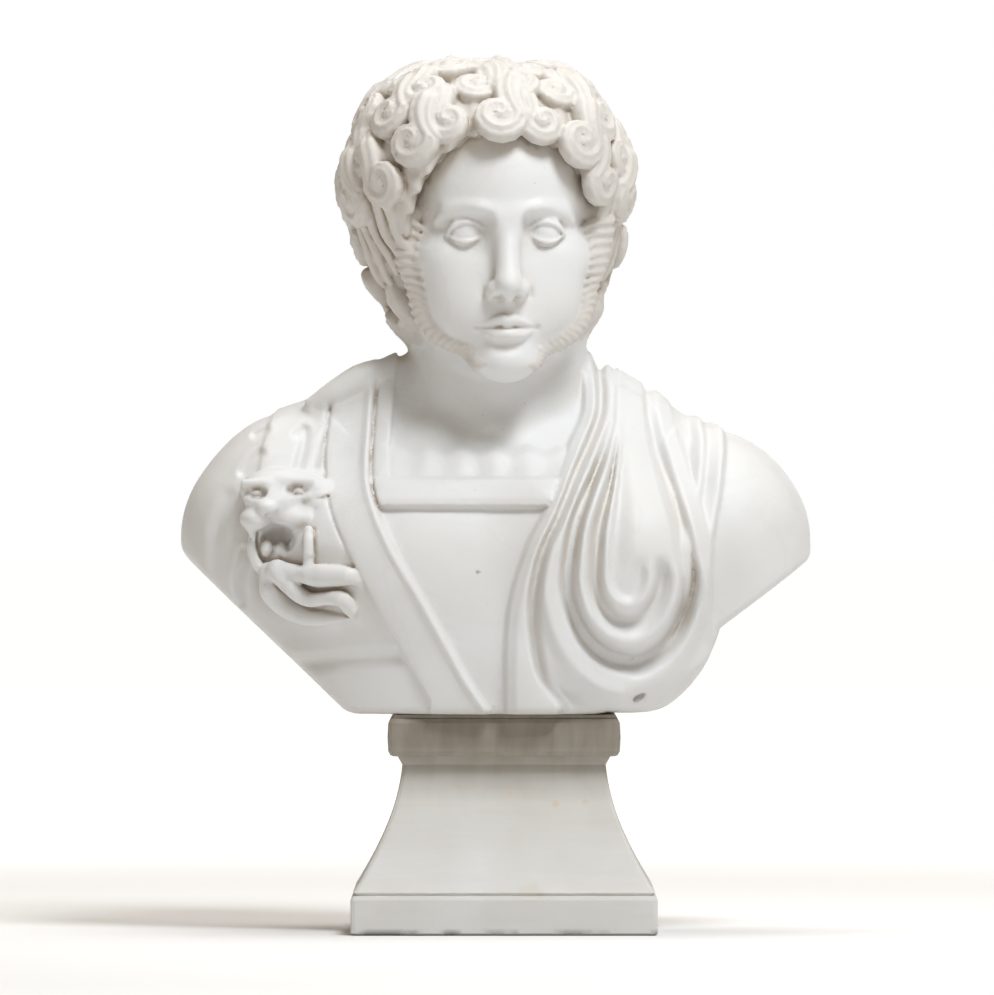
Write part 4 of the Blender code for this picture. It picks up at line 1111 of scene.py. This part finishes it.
def socle_marble():
    n = Nodes("socle marble")
    cloud = n.ramp(n.noise(9.0, 6.0, 0.6), 0.35, 0.7)
    colour = n.mix(cloud, *SOCLE_STONE)
    lines = n.ramp(n.noise(60.0, 3.0, 0.0, (0.25, 0.25, 2.2)), 0.45, 0.75, 0.0, 0.2)
    colour = n.mix(lines, colour, BEDDING)
    height = n.separate()["Z"]
    patches = n.ramp(n.noise(26.0, 6.0), 0.46, 0.58)
    dirt = n.math("MULTIPLY", n.ramp(height, 0.0060, 0.0012), patches)
    edge = n.ramp(height, 0.0026, 0.0008, 0.0, 0.75)
    dirt = n.math("MAXIMUM", n.math("MULTIPLY", dirt, 0.9), edge)
    colour = n.mix(dirt, colour, FOOT_DIRT)
    # Painted light: the groove lightened to offset the shade that its own depth gives.
    groove = n.ramp(n.math("ABSOLUTE", n.math("SUBTRACT", height, GROOVE_HEIGHT)), 0.0005, 0.0016, 0.6, 0.0)
    colour = n.mix(groove, colour, GROOVE_PAINTED_LIGHT)
    streaks = n.ramp(n.noise(45.0, 4.0, 0.4, (2.0, 2.0, 0.5)), 0.35, 0.65, 0.9, 1.03)
    # Painted shade with some real dirt: the shaft darker towards its top, under the bust.
    dirt_and_shade = n.math("MULTIPLY", n.ramp(height, 0.055, 0.145, 0.0, 0.42), streaks)
    colour = n.mix(dirt_and_shade, colour, DIRT_AND_SHADE)
    # Painted shadow: the top slab and the top of the shaft darkened where the bust shades them, partly real
    # dirt as well.
    bust_shadow_and_dirt = n.math("MULTIPLY", n.ramp(height, 0.104, 0.150, 0.0, 0.90), streaks)
    colour = n.mix(bust_shadow_and_dirt, colour, BUST_SHADOW_AND_DIRT)
    rust = n.math("MULTIPLY", n.ramp(n.noise(24.0, 2.0), 0.70, 0.78), 0.30)
    for place in RUST_SPOTS:
        rust = n.math("MAXIMUM", rust, n.math("MULTIPLY", n.spot(*place), 0.45))
    colour = n.mix(rust, colour, RUST)
    tooling = n.bump(n.noise(90.0, 4.0, 0.0, (0.3, 0.3, 2.0)), 0.12, 0.001)
    return polished(n, colour, (0.5, 0.66), 0.1, tooling)


# The stage: floor, light and camera. What the camera looks at, how far away it stands and how high,
# and the frame's width there.
VIEW = (-0.0056, 0.0, 0.3463)
CAMERA_FAR = 9.0
CAMERA_HEIGHT = 0.36
FRAME_WIDTH = 0.7972
SENSOR_WIDTH = 36.0

# The floor's half width and colour, and its glow: the distances from the object where it starts and
# is full, and how strong it is at both.
FLOOR_HALF = 40.0
FLOOR_COLOUR = (0.86, 0.86, 0.86)
FLOOR_GLOW = (0.9, 3.0, 0.0, 0.85)

# The sines of the heights between which the sky goes from white to its own dim colour.
HORIZON = (0.05, 0.075)
SKY = (0.25, 0.20, 0.14)
WHITE = (1.0, 1.0, 1.0)

# The lights: name, place, what each is aimed at, power in watts, size in metres and colour.
LIGHTS = (
    ("key", (0.95, -1.6, 3.0), (0.0, 0.0, 0.35), 90.0, 1.0, (0.93, 0.97, 1.0)),
    ("back", (0.0, 0.6, 3.0), (0.0, 2.0, 0.6), 60.0, 2.0, WHITE),
)


def aim(thing, place, target):
    thing.location = place
    thing.rotation_euler = (Vector(target) - Vector(place)).to_track_quat("-Z", "Y").to_euler()


def make_floor():
    """A pale floor that glows white away from the object: painted light that stands in for a lit studio floor
    and also lights the object.
    """
    mesh = bpy.data.meshes.new("floor")
    corners = [(FLOOR_HALF * x, FLOOR_HALF * y, 0.0) for x, y in ((-1, -1), (1, -1), (1, 1), (-1, 1))]
    mesh.from_pydata(corners, [], [(0, 1, 2, 3)])
    n = Nodes("floor")
    away = n.node("ShaderNodeVectorMath", operation="LENGTH")
    n.feed(away.inputs[0], n.place)
    stops = dict(zip(("From Min", "From Max", "To Min", "To Max"), FLOOR_GLOW))
    stops["Value"] = away.outputs["Value"]
    glow = n.node("ShaderNodeMapRange", stops, interpolation_type="SMOOTHSTEP")
    n.shader.inputs["Base Color"].default_value = (*FLOOR_COLOUR, 1.0)
    n.shader.inputs["Roughness"].default_value = 0.9
    # Painted light: the floor's own glow, though it is no lamp.
    n.shader.inputs["Emission Color"].default_value = (*WHITE, 1.0)
    n.feed(n.shader.inputs["Emission Strength"], glow.outputs["Result"])
    mesh.materials.append(n.material)
    placed("floor", mesh)


def make_light(name, place, target, power, size, colour):
    light = bpy.data.lights.new(name, "AREA")
    light.energy = power
    light.size = size
    light.color = colour
    aim(placed(name, light), place, target)


def make_world():
    """Dim warm light from all round, with white along the horizon and below it."""
    world = bpy.data.worlds.new("studio")
    world.use_nodes = True
    nodes, link = world.node_tree.nodes, world.node_tree.links.new
    direction = nodes.new("ShaderNodeTexCoord").outputs["Generated"]
    parts = nodes.new("ShaderNodeSeparateXYZ")
    link(direction, parts.inputs[0])
    rise = nodes.new("ShaderNodeMapRange")
    rise.interpolation_type = "SMOOTHSTEP"
    link(parts.outputs["Z"], rise.inputs["Value"])
    rise.inputs["From Min"].default_value, rise.inputs["From Max"].default_value = HORIZON
    blend = nodes.new("ShaderNodeMix")
    blend.data_type = "RGBA"
    link(rise.outputs["Result"], blend.inputs[0])
    blend.inputs[6].default_value = (*WHITE, 1.0)
    blend.inputs[7].default_value = (*SKY, 1.0)
    link(blend.outputs[2], nodes["Background"].inputs["Color"])
    return world


def make_lights():
    bpy.context.scene.world = make_world()
    for light in LIGHTS:
        make_light(*light)
    bpy.context.scene.view_settings.view_transform = "Standard"


def make_camera():
    camera = bpy.data.cameras.new("camera")
    camera.sensor_width = SENSOR_WIDTH
    camera.lens = SENSOR_WIDTH * CAMERA_FAR / FRAME_WIDTH
    camera.clip_end = 2.5 * FLOOR_HALF
    seen = placed("camera", camera)
    aim(seen, (VIEW[0], VIEW[1] - CAMERA_FAR, CAMERA_HEIGHT), VIEW)
    bpy.context.scene.camera = seen


make_camera()
make_lights()
make_floor()
carving = make_bust()
carving.data.materials.append(bust_marble())
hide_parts("bust")
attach(carving, "root")
socle = next(o for o in bpy.data.objects if o.name == "socle")
socle.data.materials.clear()
socle.data.materials.append(socle_marble())
